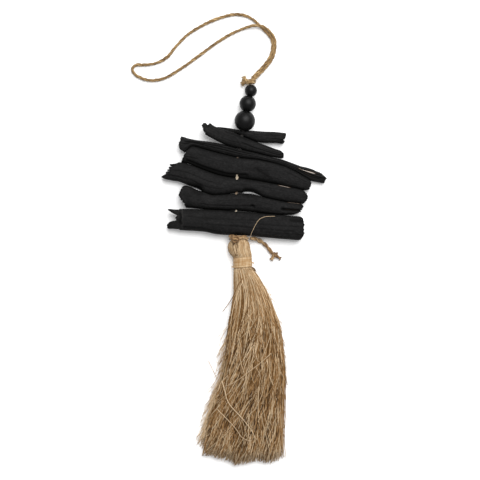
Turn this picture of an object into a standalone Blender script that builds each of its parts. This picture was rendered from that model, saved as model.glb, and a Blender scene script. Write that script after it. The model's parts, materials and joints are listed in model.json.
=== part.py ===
"""A hanging tassel with beads and sticks, lying on its back.

A twine loop ends in a knot. Below it three round beads and seven black sticks are threaded on one
cord, and a tassel of raffia strands hangs from the cord's lower end. X runs across the sticks, Y up
the cord to the loop, and Z away from the surface that the whole thing lies on. Tables and sizes are
in millimetres, and MM turns them into metres.
"""

import math
import random
from collections import namedtuple

import bmesh
import bpy
import numpy as np
from mathutils import Matrix, Vector

MM = 0.001

# Driving dimensions.
TWINE = 3.0
TAIL_TWINE = 4.2
BINDING_FIT = 0.5
HOLE = 4.5
BEAD_FLATS = 0.91
BEAD_SIDES = 20
BINDING_WALL = 1.0
BINDING_RIDGE = 0.2
BINDING_WRAPS = 5
STRAND_COLUMNS = 20
STRAND_ROWS = 6
STRAND_FILL = 0.64
STRAND_SWAY = 0.15
END_SCATTER = 4.0
SEED = 11

# Points round a stick's section: even, and not a multiple of 4, so that the two lowest ones share
# a height and the stick rests on flat faces.
SECTION_POINTS = 14

Bead = namedtuple("Bead", "name diameter hole")
BEADS = (
    Bead("bead_small", 12.0, 4.6),
    Bead("bead_medium", 16.0, 5.0),
    Bead("bead_large", 20.0, 5.6),
)

# The route of the threaded cord, from the knot down to the tassel's head. The beads and the sticks
# turn about it, each at the point that bears its name.
Stop = namedtuple("Stop", "name x y z")
STRING_ROUTE = (
    Stop("knot end", 6.6, 179.8, 7.0),
    Stop("bead_small", 5.7, 174.3, 7.6),
    Stop("bead_medium", 2.6, 161.5, 9.0),
    Stop("bead_large", -0.2, 144.9, 10.1),
    Stop("stick_1", -2.4, 133.0, 8.9),
    Stop("stick_2", -4.7, 123.7, 8.0),
    Stop("stick_3", -6.7, 113.4, 7.5),
    Stop("stick_4", -7.5, 99.4, 7.3),
    Stop("stick_5", -8.0, 82.4, 7.3),
    Stop("stick_6", -8.4, 66.0, 7.5),
    Stop("stick_7", -8.8, 45.6, 8.0),
    Stop("head end", -9.0, 33.7, 8.2),
)

# The hanging loop, from the knot round and back to it. Its two strands run side by side from the
# knot to the place where they cross, the first of them on top.
LOOP_ROUTE = (
    (10.9, 186.4, 5.4),
    (14.3, 190.6, 3.2),
    (18.2, 194.3, 1.7),
    (22.5, 199.3, 1.5),
    (26.2, 204.6, 1.5),
    (28.6, 210.1, 1.5),
    (29.8, 215.7, 1.5),
    (30.0, 221.4, 1.5),
    (28.3, 227.2, 1.9),
    (23.9, 232.9, 3.4),
    (17.3, 236.9, 4.9),
    (8.0, 237.8, 4.2),
    (0.5, 235.9, 2.2),
    (-9.0, 232.2, 1.5),
    (-23.8, 223.9, 1.5),
    (-43.2, 210.0, 1.5),
    (-62.6, 196.1, 1.5),
    (-82.0, 185.9, 1.5),
    (-91.7, 184.8, 1.5),
    (-101.4, 187.4, 1.5),
    (-107.4, 191.2, 1.5),
    (-109.6, 195.6, 1.5),
    (-107.0, 199.3, 1.5),
    (-99.0, 199.9, 1.5),
    (-86.0, 201.8, 1.5),
    (-75.6, 207.6, 1.5),
    (-67.0, 218.0, 1.5),
    (-57.0, 228.2, 1.5),
    (-43.2, 237.3, 1.5),
    (-23.8, 245.8, 1.5),
    (-9.5, 249.0, 1.5),
    (2.0, 247.2, 1.5),
    (10.3, 242.2, 1.5),
    (16.2, 235.9, 1.5),
    (21.4, 230.3, 1.5),
    (25.1, 225.5, 1.5),
    (26.4, 221.0, 1.5),
    (26.2, 216.1, 1.5),
    (25.1, 211.1, 1.5),
    (22.8, 206.1, 1.5),
    (19.4, 201.2, 1.5),
    (15.2, 196.2, 2.2),
    (11.0, 191.6, 3.8),
    (7.6, 187.6, 5.6),
)

# The doubled tail of the tie, from the head to its end knot.
TAIL_ROUTE = (
    (5.1, 31.2, 7.6),
    (8.6, 31.1, 5.8),
    (12.4, 29.8, 3.0),
    (16.8, 27.4, 2.1),
    (20.9, 23.9, 2.1),
    (25.7, 17.8, 2.4),
)

# A stick is a row of oval sections along X: its lower and upper edge, its underside and its height.
Section = namedtuple("Section", "x low high under height")

# An end: how far its edges reach past its middle, how far its upper edge leans outward past its
# lower one, and how deep it is hollow.
End = namedtuple("End", "fork lean hollow")
Stick = namedtuple("Stick", "name left right sections")

STICKS = (
    Stick("stick_1", End(0.5, 1.0, 0.0), End(1.2, -0.6, 0.0), (
        Section(-27.2, 134.6, 139.0, 0.3, 3.2),
        Section(-22.3, 132.8, 138.8, 0.0, 4.0),
        Section(-15.5, 132.6, 137.9, 0.0, 4.2),
        Section(-9.5, 133.8, 136.7, 0.4, 7.5),
        Section(-1.9, 130.4, 135.2, 1.0, 12.2),
        Section(4.8, 127.7, 135.1, 0.8, 12.0),
        Section(11.6, 125.0, 134.8, 0.3, 11.2),
        Section(18.4, 124.3, 134.3, 0.0, 10.6),
        Section(28.1, 124.2, 134.1, 0.0, 10.2),
        Section(35.9, 123.9, 133.4, 0.0, 10.0),
        Section(38.3, 124.4, 132.4, 0.8, 8.2),
    )),
    Stick("stick_2", End(0.6, -0.8, 0.0), End(0.4, -0.6, 0.0), (
        Section(-41.2, 136.3, 141.2, 8.6, 6.0),
        Section(-37.8, 132.2, 141.9, 7.4, 8.4),
        Section(-33.9, 129.5, 141.3, 6.8, 9.2),
        Section(-29.1, 126.8, 138.9, 6.2, 9.6),
        Section(-22.3, 123.5, 136.5, 5.2, 9.8),
        Section(-15.5, 121.2, 134.6, 4.2, 10.0),
        Section(-8.7, 119.2, 132.6, 3.2, 10.2),
        Section(-1.9, 117.6, 129.4, 2.5, 10.3),
        Section(4.8, 115.7, 126.8, 2.0, 10.0),
        Section(11.6, 114.2, 124.0, 1.4, 9.6),
        Section(19.4, 112.1, 121.3, 0.8, 9.2),
        Section(27.2, 110.5, 118.4, 0.3, 8.8),
        Section(33.0, 109.6, 115.9, 0.0, 8.0),
        Section(36.6, 109.2, 113.6, 0.6, 6.0),
    )),
    Stick("stick_3", End(0.4, 0.8, 0.0), End(0.3, -1.0, 0.0), (
        Section(-63.6, 120.3, 125.6, 1.0, 8.0),
        Section(-61.2, 116.2, 127.9, 0.0, 10.4),
        Section(-57.6, 115.7, 127.6, 0.0, 11.0),
        Section(-54.6, 118.8, 126.7, 0.0, 11.0),
        Section(-51.4, 121.9, 125.9, 0.0, 10.6),
        Section(-45.6, 119.7, 124.5, 0.0, 10.8),
        Section(-32.0, 115.9, 123.1, 0.0, 11.4),
        Section(-15.5, 111.6, 120.3, 0.0, 11.8),
        Section(-5.8, 109.5, 117.5, 0.0, 11.8),
        Section(11.6, 107.9, 113.2, 0.0, 11.4),
        Section(26.2, 104.7, 109.5, 0.0, 10.8),
        Section(37.8, 101.7, 106.8, 0.0, 10.2),
        Section(51.4, 95.3, 101.8, 0.0, 9.8),
        Section(63.0, 87.6, 96.9, 0.0, 9.0),
        Section(72.8, 85.6, 92.2, 0.0, 7.6),
        Section(78.6, 85.6, 88.6, 0.6, 4.8),
    )),
    Stick("stick_4", End(0.8, 0.8, 0.0), End(0.6, -0.5, 0.0), (
        Section(-59.8, 105.8, 109.4, 2.0, 6.0),
        Section(-57.2, 105.0, 113.4, 0.6, 11.0),
        Section(-54.3, 104.0, 116.9, 0.0, 12.6),
        Section(-51.4, 102.6, 120.6, 0.0, 13.2),
        Section(-38.8, 97.4, 116.5, 0.0, 13.8),
        Section(-24.2, 92.6, 112.7, 0.0, 14.0),
        Section(-15.5, 91.0, 110.6, 0.0, 14.0),
        Section(-5.8, 90.0, 108.5, 0.0, 14.0),
        Section(3.9, 89.2, 107.6, 0.0, 13.8),
        Section(12.6, 87.4, 106.8, 0.0, 13.8),
        Section(20.4, 86.2, 105.1, 0.0, 14.6),
        Section(26.2, 85.5, 103.8, 0.0, 15.4),
        Section(32.0, 84.4, 102.3, 0.0, 14.0),
        Section(39.8, 82.1, 100.0, 0.0, 13.2),
        Section(51.4, 80.0, 94.3, 0.0, 12.0),
        Section(58.2, 79.2, 89.7, 0.0, 10.0),
        Section(63.2, 81.0, 86.2, 1.5, 6.0),
    )),
    Stick("stick_5", End(3.0, -4.0, 2.0), End(0.0, 0.0, 0.0), (
        Section(-71.5, 88.2, 102.4, 0.6, 11.0),
        Section(-65.0, 87.4, 103.9, 0.0, 12.6),
        Section(-59.2, 85.3, 104.2, 0.0, 13.0),
        Section(-47.5, 80.0, 99.8, 0.0, 13.4),
        Section(-40.7, 76.3, 97.0, 0.0, 13.6),
        Section(-32.0, 73.6, 93.8, 0.0, 13.6),
        Section(-24.2, 73.8, 91.4, 0.0, 13.2),
        Section(-15.5, 75.0, 89.8, 0.0, 12.8),
        Section(-4.0, 76.4, 88.9, 0.0, 12.6),
        Section(7.8, 76.0, 87.3, 0.0, 12.6),
        Section(20.4, 71.1, 85.3, 0.0, 12.8),
        Section(39.8, 67.0, 81.1, 0.0, 12.8),
        Section(52.0, 65.9, 78.6, 0.0, 12.0),
        Section(57.2, 66.6, 76.6, 0.4, 10.4),
        Section(60.6, 69.2, 73.4, 2.6, 6.0),
    )),
    Stick("stick_6", End(0.4, 0.6, 0.0), End(0.8, 1.4, 5.0), (
        Section(-63.9, 70.3, 74.6, 3.0, 6.0),
        Section(-62.1, 66.9, 79.0, 1.0, 10.5),
        Section(-58.2, 63.3, 80.6, 0.0, 13.0),
        Section(-54.8, 61.8, 80.6, 0.0, 13.8),
        Section(-49.1, 60.8, 77.6, 0.0, 14.0),
        Section(-40.7, 60.0, 74.8, 0.0, 14.0),
        Section(-32.0, 59.5, 72.6, 0.0, 14.0),
        Section(-15.5, 58.5, 73.6, 0.0, 14.0),
        Section(-5.8, 58.2, 74.6, 0.0, 14.2),
        Section(5.8, 57.3, 74.3, 0.0, 14.4),
        Section(20.4, 55.6, 70.0, 0.0, 14.0),
        Section(29.1, 54.8, 68.1, 0.0, 13.6),
        Section(39.8, 54.2, 66.0, 0.0, 13.0),
        Section(50.4, 55.4, 65.0, 0.0, 11.8),
        Section(54.2, 56.6, 63.6, 0.8, 9.4),
    )),
    Stick("stick_7", End(8.0, 0.6, 7.0), End(-1.0, -1.4, 5.0), (
        Section(-67.0, 40.3, 59.7, 0.0, 15.2),
        Section(-58.0, 39.4, 59.2, 0.0, 16.0),
        Section(-47.0, 38.8, 59.1, 0.0, 16.4),
        Section(-37.8, 38.0, 58.7, 0.0, 16.6),
        Section(-29.1, 35.8, 58.2, 0.0, 16.8),
        Section(-15.5, 34.8, 57.4, 0.0, 17.0),
        Section(-4.8, 34.7, 56.9, 0.0, 17.0),
        Section(6.8, 33.9, 56.0, 0.0, 16.8),
        Section(18.4, 32.7, 54.7, 0.0, 16.6),
        Section(29.1, 31.7, 53.7, 0.0, 16.6),
        Section(41.7, 30.7, 52.9, 0.0, 16.4),
        Section(50.4, 29.9, 51.9, 0.0, 16.0),
        Section(55.6, 31.0, 50.6, 0.0, 14.8),
    )),
)

# The tassel is a row of D-shaped sections down Y: its left and right side, underside and height.
Girth = namedtuple("Girth", "y left right under height")
HEAD = (
    Girth(33.2, -10.9, -0.6, 5.0, 5.0),
    Girth(31.4, -11.2, -0.4, 4.8, 6.0),
    Girth(29.5, -12.8, 1.2, 3.7, 8.6),
    Girth(28.0, -14.4, 2.8, 2.0, 11.4),
    Girth(26.0, -16.0, 4.2, 0.2, 13.6),
    Girth(21.8, -16.7, 4.8, 0.0, 14.2),
    Girth(17.0, -14.8, 5.6, 0.5, 13.4),
    Girth(13.4, -10.6, 5.6, 1.8, 10.6),
    Girth(2.2, -10.6, 6.4, 1.8, 10.8),
)
SKIRT = (
    Girth(0.6, -11.0, 9.8, 1.5, 12.0),
    Girth(-22.0, -11.6, 21.8, 0.0, 15.0),
    Girth(-52.0, -17.0, 34.6, 0.0, 16.0),
    Girth(-100.0, -23.4, 40.0, 0.0, 14.0),
    Girth(-145.0, -37.5, 38.6, 0.0, 11.0),
    Girth(-190.0, -45.5, 37.5, 0.0, 8.0),
)
HEM = ((0.0, -174.0), (0.25, -179.0), (0.45, -186.0), (0.7, -181.0), (0.85, -184.0), (1.0, -179.0))
BINDING_TOP = 13.0
BINDING_FOOT = 2.7
TIE_HEIGHT = 31.4
TIE_MIDDLE = (-5.8, 7.7)
TIE_HALF = (8.4, 6.25)
TIE_TUBE = 1.4
TIE_POINTS = 28

# Knots: oval lumps and cut stubs, as centre and half sizes, and as start, end and radius.
Lump = namedtuple("Lump", "x y z half_x half_y half_z turn")
Stub = namedtuple("Stub", "start end radius")
TOP_KNOT = (
    Lump(3.0, 183.3, 5.2, 3.0, 2.9, 3.6, -0.5),
    Lump(5.6, 183.2, 5.8, 3.3, 3.0, 4.0, 0.35),
    Lump(8.3, 183.4, 5.2, 2.6, 2.8, 3.6, -0.4),
)
TOP_STUBS = (
    Stub((3.0, 183.0, 5.4), (-0.6, 188.4, 6.4), 1.6),
    Stub((3.0, 184.0, 4.8), (-3.6, 182.0, 3.2), 1.6),
)
TAIL_KNOT = (
    Lump(28.4, 15.4, 3.3, 3.8, 2.6, 3.2, 0.6),
    Lump(27.4, 14.6, 3.2, 2.6, 3.6, 3.0, 0.2),
)
TAIL_STUBS = (
    Stub((27.6, 14.6, 2.6), (24.4, 9.8, 1.8), 1.5),
    Stub((28.4, 14.8, 2.6), (34.8, 11.6, 1.9), 1.5),
    Stub((28.6, 15.6, 3.4), (32.0, 17.2, 2.6), 1.1),
)
TIE_KNOT = Lump(-9.2, 30.2, 14.6, 3.1, 2.7, 2.2, 0.3)

COLOURS = {
    "twine": ((0.42, 0.27, 0.13), 0.9),
    "black wood": ((0.02, 0.019, 0.018), 0.6),
    "black bark": ((0.03, 0.028, 0.026), 0.75),
    "raffia": ((0.56, 0.42, 0.24), 0.8),
}


def material(name):
    """The named material: its colour and roughness, on a Principled shader."""
    known = bpy.data.materials.get(name)
    if known:
        return known
    colour, roughness = COLOURS[name]
    made = bpy.data.materials.new(name)
    made.use_nodes = True
    shader = made.node_tree.nodes["Principled BSDF"]
    shader.inputs["Base Color"].default_value = (*colour, 1.0)
    shader.inputs["Roughness"].default_value = roughness
    shader.inputs["Metallic"].default_value = 0.0
    return made


def add(name, data, material_name, origin=(0.0, 0.0, 0.0)):
    """Put mesh or curve data, drawn about its own origin in metres, at a place given in millimetres."""
    made = bpy.data.objects.new(name, data)
    made.location = Vector(origin) * MM
    bpy.context.scene.collection.objects.link(made)
    if material_name:
        data.materials.append(material(material_name))
    return made


def solid(name, shape, material_name, origin=(0.0, 0.0, 0.0), smooth=True):
    """Turn a closed bmesh, drawn in millimetres about the origin, into an object."""
    bmesh.ops.recalc_face_normals(shape, faces=shape.faces[:])
    bmesh.ops.scale(shape, vec=(MM, MM, MM), verts=shape.verts[:])
    mesh = bpy.data.meshes.new(name)
    shape.to_mesh(mesh)
    shape.free()
    if smooth:
        mesh.shade_smooth()
        mesh.set_sharp_from_angle(angle=math.radians(50))
    return add(name, mesh, material_name, origin)


def helper(name, shape, origin=(0.0, 0.0, 0.0)):
    """A shape that only cuts or joins another one."""
    made = solid(name, shape, None, origin, smooth=False)
    made.hide_render = True
    made.display_type = "WIRE"
    return made


def combine(target, other, operation):
    """Cut the other shape from the target, or join it to the target."""
    modifier = target.modifiers.new(other.name, "BOOLEAN")
    modifier.operation = operation
    modifier.solver = "EXACT"
    modifier.object = other


def join_rings(shape, rings, closed=False):
    """Skin a list of vertex rings of equal length, and the last to the first if it is closed."""
    count = len(rings[0])
    pairs = list(zip(rings, rings[1:]))
    if closed:
        pairs.append((rings[-1], rings[0]))
    for near, far in pairs:
        for i in range(count):
            j = (i + 1) % count
            shape.faces.new((near[i], near[j], far[j], far[i]))


def cap(shape, ring, middle):
    """Close a ring with a fan to its middle point."""
    tip = shape.verts.new(middle)
    for i, vertex in enumerate(ring):
        shape.faces.new((vertex, ring[(i + 1) % len(ring)], tip))


def smooth_route(points, spacing):
    """Evenly spaced points on a smooth curve through the given ones."""
    points = np.array(points, float)
    chords = np.linalg.norm(np.diff(points, axis=0), axis=1)
    knots = np.concatenate(([0.0], np.cumsum(chords)))
    slopes = np.diff(points, axis=0) / chords[:, None]
    middle = (slopes[:-1] * chords[1:, None] + slopes[1:] * chords[:-1, None])
    middle /= (chords[1:] + chords[:-1])[:, None]
    tangents = np.vstack((slopes[:1], middle, slopes[-1:]))
    fine = []
    for i, chord in enumerate(chords):
        for t in np.linspace(0.0, 1.0, 24, endpoint=False):
            start = (1 + 2 * t) * (1 - t) ** 2 * points[i] + t * (1 - t) ** 2 * chord * tangents[i]
            end = t * t * (3 - 2 * t) * points[i + 1] - t * t * (1 - t) * chord * tangents[i + 1]
            fine.append(start + end)
    fine.append(points[-1])
    fine = np.array(fine)
    run = np.concatenate(([0.0], np.cumsum(np.linalg.norm(np.diff(fine, axis=0), axis=1))))
    stops = np.linspace(0.0, run[-1], max(2, round(run[-1] / spacing)) + 1)
    return np.column_stack([np.interp(stops, run, fine[:, k]) for k in range(3)])


def cord(name, route, diameter):
    """A round cord along a route, with filled ends and nowhere below the surface."""
    data = bpy.data.curves.new(name, "CURVE")
    data.dimensions = "3D"
    data.bevel_depth = diameter / 2 * MM
    data.bevel_resolution = 2
    data.use_fill_caps = True
    spline = data.splines.new("POLY")
    points = smooth_route(route, 2 * diameter)
    points[:, 2] = np.maximum(points[:, 2], diameter / 2)
    spline.points.add(len(points) - 1)
    for point, place in zip(spline.points, points):
        point.co = (*(Vector(place) * MM), 1.0)
    return add(name, data, "twine")


def thread_axis(name):
    """Where a threaded piece sits on the cord, and the cord's direction there, pointing up it."""
    index = [stop.name for stop in STRING_ROUTE].index(name)
    above, here, below = (Vector(STRING_ROUTE[index + k][1:]) for k in (-1, 0, 1))
    return here, (above - below).normalized()


def bead(spec):
    """A turned ball, flat at both ends, round the cord's hole."""
    radius = spec.diameter / 2
    half = radius * BEAD_FLATS
    steps = 8
    reach = math.asin(BEAD_FLATS)
    angles = [reach - 2 * reach * k / steps for k in range(steps + 1)]
    profile = [(radius * math.cos(a), radius * math.sin(a)) for a in angles]
    profile += [(spec.hole / 2, -half), (spec.hole / 2, half)]
    shape = bmesh.new()
    rings = []
    for out, up in profile:
        turns = [2 * math.pi * k / BEAD_SIDES for k in range(BEAD_SIDES)]
        rings.append([shape.verts.new((out * math.cos(a), out * math.sin(a), up)) for a in turns])
    join_rings(shape, rings, closed=True)
    centre, axis = thread_axis(spec.name)
    made = solid(spec.name, shape, "black wood", centre)
    made.rotation_mode = "QUATERNION"
    made.rotation_quaternion = axis.to_track_quat("Z", "Y")


def oval(section, centre, turn, scale=1.0):
    """A point of a stick's section, from the stick's own origin. The two lowest points lie flat."""
    spread = math.cos(math.pi / SECTION_POINTS)
    half_y = (section.high - section.low) / 2 * scale
    half_z = section.height / 2 * scale / spread
    y = (section.high + section.low) / 2 + half_y * math.cos(turn)
    z = section.under + section.height / 2 + half_z * math.sin(turn)
    return Vector((section.x, y, z)) - centre


def stick(spec):
    """One stick: its skin, its two ends and the hole for the cord."""
    centre, axis = thread_axis(spec.name)
    turns = [2 * math.pi * k / SECTION_POINTS for k in range(SECTION_POINTS)]
    shape = bmesh.new()
    rings = [[shape.verts.new(oval(s, centre, t)) for t in turns] for s in spec.sections]
    join_rings(shape, rings)
    ends = ((rings[0], spec.sections[0], spec.left, -1), (rings[-1], spec.sections[-1], spec.right, 1))
    for ring, section, end, way in ends:
        for vertex, turn in zip(ring, turns):
            vertex.co.x += way * (end.fork * math.cos(turn) ** 2 + end.lean * math.cos(turn))
        middle = oval(section, centre, 0.0, 0.0)
        if end.hollow:
            lip = [shape.verts.new(middle + (v.co - middle) * 0.66) for v in ring]
            for vertex, outer in zip(lip, ring):
                vertex.co.x = outer.co.x
            floor = [shape.verts.new(v.co) for v in lip]
            for vertex in floor:
                vertex.co.x = middle.x - way * end.hollow
            join_rings(shape, [ring, lip, floor])
            cap(shape, floor, middle - Vector((way * end.hollow, 0, 0)))
        else:
            cap(shape, ring, middle + Vector((way * 0.8, 0, 0)))
    made = solid(spec.name, shape, "black bark", centre)
    drill = bmesh.new()
    reach = max(s.high - s.low for s in spec.sections) + 30
    sides = 12
    radius = HOLE / 2 / math.cos(math.pi / sides)
    bmesh.ops.create_cone(drill, cap_ends=True, segments=sides, radius1=radius, radius2=radius, depth=reach)
    turn = axis.to_track_quat("Z", "Y").to_matrix()
    bmesh.ops.rotate(drill, cent=(0, 0, 0), matrix=turn, verts=drill.verts[:])
    combine(made, helper(spec.name + "_drill", drill, centre), "DIFFERENCE")


def girth_at(table, y):
    """The tassel's section at one height, between the rows of its table."""
    rows = sorted(table)
    heights = [row.y for row in rows]
    return Girth(y, *(np.interp(y, heights, [row[k] for row in rows]) for k in range(1, 5)))


def girth_point(girth, across, up, grow=0.0):
    """A point of a D-shaped section, from shares of its width and height, both 0 to 1.
    The lowest part of its sides draws in, and its top is an arch."""
    half = (girth.right - girth.left) / 2
    side = 2 * across - 1
    belly = 1.0 - 0.3 * max(0.0, 0.9 - 2 * up) ** 2
    crown = 0.42 + 0.58 * math.sqrt(max(0.0, 1 - side * side))
    x = (girth.left + girth.right) / 2 + (half * belly + grow) * side
    z = girth.under + girth.height * up * crown + grow * (2 * up - 1)
    return Vector((x, girth.y, z))


def rim(columns, rows):
    """Shares of width and height round the edge of a section, anticlockwise from its lower left."""
    shares = [(k / columns, 0.0) for k in range(columns)]
    shares += [(1.0, k / rows) for k in range(rows)]
    shares += [(1 - k / columns, 1.0) for k in range(columns)]
    shares += [(0.0, 1 - k / rows) for k in range(rows)]
    return shares


def skin_strand(shape, near, far):
    """Skin one length of a strand. Opposite faces split along the same slant, so that a thin strand
    that twists keeps its thickness. The corners run from the lower left one anticlockwise."""
    left_low, right_low, right_high, left_high = zip(near, far)
    for start, end in ((left_low, right_low), (right_low, right_high)):
        shape.faces.new((start[0], end[0], end[1]))
        shape.faces.new((start[0], end[1], start[1]))
    for start, end in ((right_high, left_high), (left_high, left_low)):
        shape.faces.new((start[0], end[0], start[1]))
        shape.faces.new((end[0], end[1], start[1]))


def strand(shape, column, row, corners, sway, length):
    """One strand, drawn down from its root corners. The lowest row comes to rest on the surface."""
    top = SKIRT[0].y
    edge = (1 - STRAND_FILL) / 2
    near = corners
    stations = [g.y for g in SKIRT[1:] if g.y > -length + END_SCATTER] + [-length]
    for y in stations:
        girth = girth_at(SKIRT, y)
        drop = (top - y) / (top - SKIRT[-1].y)
        shift_x = sway[0] * drop
        shift_z = sway[1] * drop if row else 0.0
        foot = 0.0 if row == 0 else edge
        shares = (
            (column + edge + shift_x, row + foot + shift_z),
            (column + 1 - edge + shift_x, row + foot + shift_z),
            (column + 1 - edge + shift_x, row + 1 - edge + shift_z),
            (column + edge + shift_x, row + 1 - edge + shift_z),
        )
        far = [shape.verts.new(girth_point(girth, a / STRAND_COLUMNS, b / STRAND_ROWS)) for a, b in shares]
        skin_strand(shape, near, far)
        near = far
    shape.faces.new(near)


def tassel():
    """The folded head and the strands that hang from its lower face."""
    draw = random.Random(SEED)
    shape = bmesh.new()
    root = SKIRT[0]
    grid = {}
    for column in range(STRAND_COLUMNS + 1):
        for row in range(STRAND_ROWS + 1):
            place = girth_point(root, column / STRAND_COLUMNS, row / STRAND_ROWS)
            grid[column, row] = shape.verts.new(place)
    hem_places, hem_heights = zip(*HEM)
    edge = (1 - STRAND_FILL) / 2
    for column in range(STRAND_COLUMNS):
        for row in range(STRAND_ROWS):
            cell = [grid[column + a, row + b] for a, b in ((0, 0), (1, 0), (1, 1), (0, 1))]
            shares = ((edge, edge), (1 - edge, edge), (1 - edge, 1 - edge), (edge, 1 - edge))
            corners = []
            for a, b in shares:
                place = girth_point(root, (column + a) / STRAND_COLUMNS, (row + b) / STRAND_ROWS)
                corners.append(shape.verts.new(place))
            join_rings(shape, [cell, corners])
            hem = float(np.interp((column + 0.5) / STRAND_COLUMNS, hem_places, hem_heights))
            length = -hem + draw.uniform(-END_SCATTER, END_SCATTER)
            sway = (draw.uniform(-STRAND_SWAY, STRAND_SWAY), draw.uniform(-STRAND_SWAY, STRAND_SWAY))
            strand(shape, column, row, corners, sway, length)
    shares = rim(STRAND_COLUMNS, STRAND_ROWS)
    rings = [[grid[round(a * STRAND_COLUMNS), round(b * STRAND_ROWS)] for a, b in shares]]
    for girth in reversed(HEAD):
        rings.append([shape.verts.new(girth_point(girth, a, b)) for a, b in shares])
    for ring in rings[1:-1]:
        middle = sum((v.co for v in ring), Vector()) / len(ring)
        for vertex in ring[::2]:
            vertex.co = middle + (vertex.co - middle) * 0.975
    join_rings(shape, rings)
    cap(shape, rings[-1], girth_point(HEAD[0], 0.5, 0.5) + Vector((0, 0.3, 0)))
    solid("tassel", shape, "raffia", smooth=False)


def neck_binding():
    """The wraps round the neck: a ridged sleeve that clears the strands inside it."""
    shape = bmesh.new()
    shares = [((1 - math.cos(math.pi * a)) / 2, b) for a, b in rim(8, 4)]
    steps = 2 * BINDING_WRAPS
    rings = []
    for k in range(steps + 1):
        y = BINDING_FOOT + (BINDING_TOP - BINDING_FOOT) * k / steps
        grow = BINDING_FIT + BINDING_WALL + BINDING_RIDGE * (1 if k % 2 else -1)
        girth = girth_at(HEAD, y)
        rings.append([shape.verts.new(girth_point(girth, a, b, grow)) for a, b in shares])
    for y in (BINDING_TOP, BINDING_FOOT):
        girth = girth_at(HEAD, y)
        rings.append([shape.verts.new(girth_point(girth, a, b, BINDING_FIT)) for a, b in shares])
    join_rings(shape, rings, closed=True)
    solid("neck_binding", shape, "raffia")


def lump(spec, origin):
    """An oval lump, turned about the upright."""
    shape = bmesh.new()
    bmesh.ops.create_uvsphere(shape, u_segments=12, v_segments=7, radius=1.0)
    bmesh.ops.scale(shape, vec=(spec.half_x, spec.half_y, spec.half_z), verts=shape.verts[:])
    turned = Matrix.Rotation(spec.turn, 3, "Z")
    bmesh.ops.rotate(shape, cent=(0, 0, 0), matrix=turned, verts=shape.verts[:])
    bmesh.ops.translate(shape, vec=Vector(spec[:3]) - origin, verts=shape.verts[:])
    return shape


def stub(spec, origin):
    """A short straight end of twine."""
    shape = bmesh.new()
    start, end = Vector(spec.start), Vector(spec.end)
    run = end - start
    bmesh.ops.create_cone(
        shape, cap_ends=True, segments=8, radius1=spec.radius, radius2=spec.radius, depth=run.length
    )
    turned = run.to_track_quat("Z", "Y").to_matrix()
    bmesh.ops.rotate(shape, cent=(0, 0, 0), matrix=turned, verts=shape.verts[:])
    bmesh.ops.translate(shape, vec=(start + end) / 2 - origin, verts=shape.verts[:])
    return shape


def knot(name, lumps, stubs):
    """A knot: oval lumps and cut ends, joined into one body."""
    origin = Vector(lumps[0][:3])
    made = solid(name, lump(lumps[0], origin), "twine", origin)
    for k, spec in enumerate(lumps[1:]):
        combine(made, helper(f"{name}_lump_{k}", lump(spec, origin), origin), "UNION")
    for k, spec in enumerate(stubs):
        combine(made, helper(f"{name}_stub_{k}", stub(spec, origin), origin), "UNION")


def head_tie():
    """The twine ring round the top of the head, with its knot in front."""
    shape = bmesh.new()
    rings = []
    sides = 8
    for k in range(TIE_POINTS):
        turn = 2 * math.pi * k / TIE_POINTS
        out = Vector((math.cos(turn) / TIE_HALF[0], 0, math.sin(turn) / TIE_HALF[1])).normalized()
        x = TIE_MIDDLE[0] + TIE_HALF[0] * math.cos(turn)
        z = TIE_MIDDLE[1] + TIE_HALF[1] * math.sin(turn)
        ring = []
        for j in range(sides):
            round_turn = 2 * math.pi * j / sides
            reach = out * math.cos(round_turn) + Vector((0, math.sin(round_turn), 0))
            ring.append(shape.verts.new(Vector((x, TIE_HEIGHT, z)) + reach * TIE_TUBE))
        rings.append(ring)
    join_rings(shape, rings, closed=True)
    made = solid("head_tie", shape, "twine")
    combine(made, helper("head_tie_knot", lump(TIE_KNOT, Vector())), "UNION")


def main():
    for old in list(bpy.data.objects):
        bpy.data.objects.remove(old)
    cord("hanging_loop", LOOP_ROUTE, TWINE)
    knot("top_knot", TOP_KNOT, TOP_STUBS)
    for spec in BEADS:
        bead(spec)
    for spec in STICKS:
        stick(spec)
    cord("stringing_cord", [stop[1:] for stop in STRING_ROUTE], TWINE)
    tassel()
    neck_binding()
    head_tie()
    cord("tie_tail", TAIL_ROUTE, TAIL_TWINE)
    knot("tail_knot", TAIL_KNOT, TAIL_STUBS)


main()
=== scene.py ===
"""The looks of a hanging tassel: a twine loop, black beads and sticks on a cord, and a raffia tassel.

Tables and sizes are in millimetres, and MM turns them into metres. X runs across the sticks, Y up the
threaded cord, and Z away from the floor that the whole thing lies on.
"""

import json
import math
from collections import namedtuple

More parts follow.
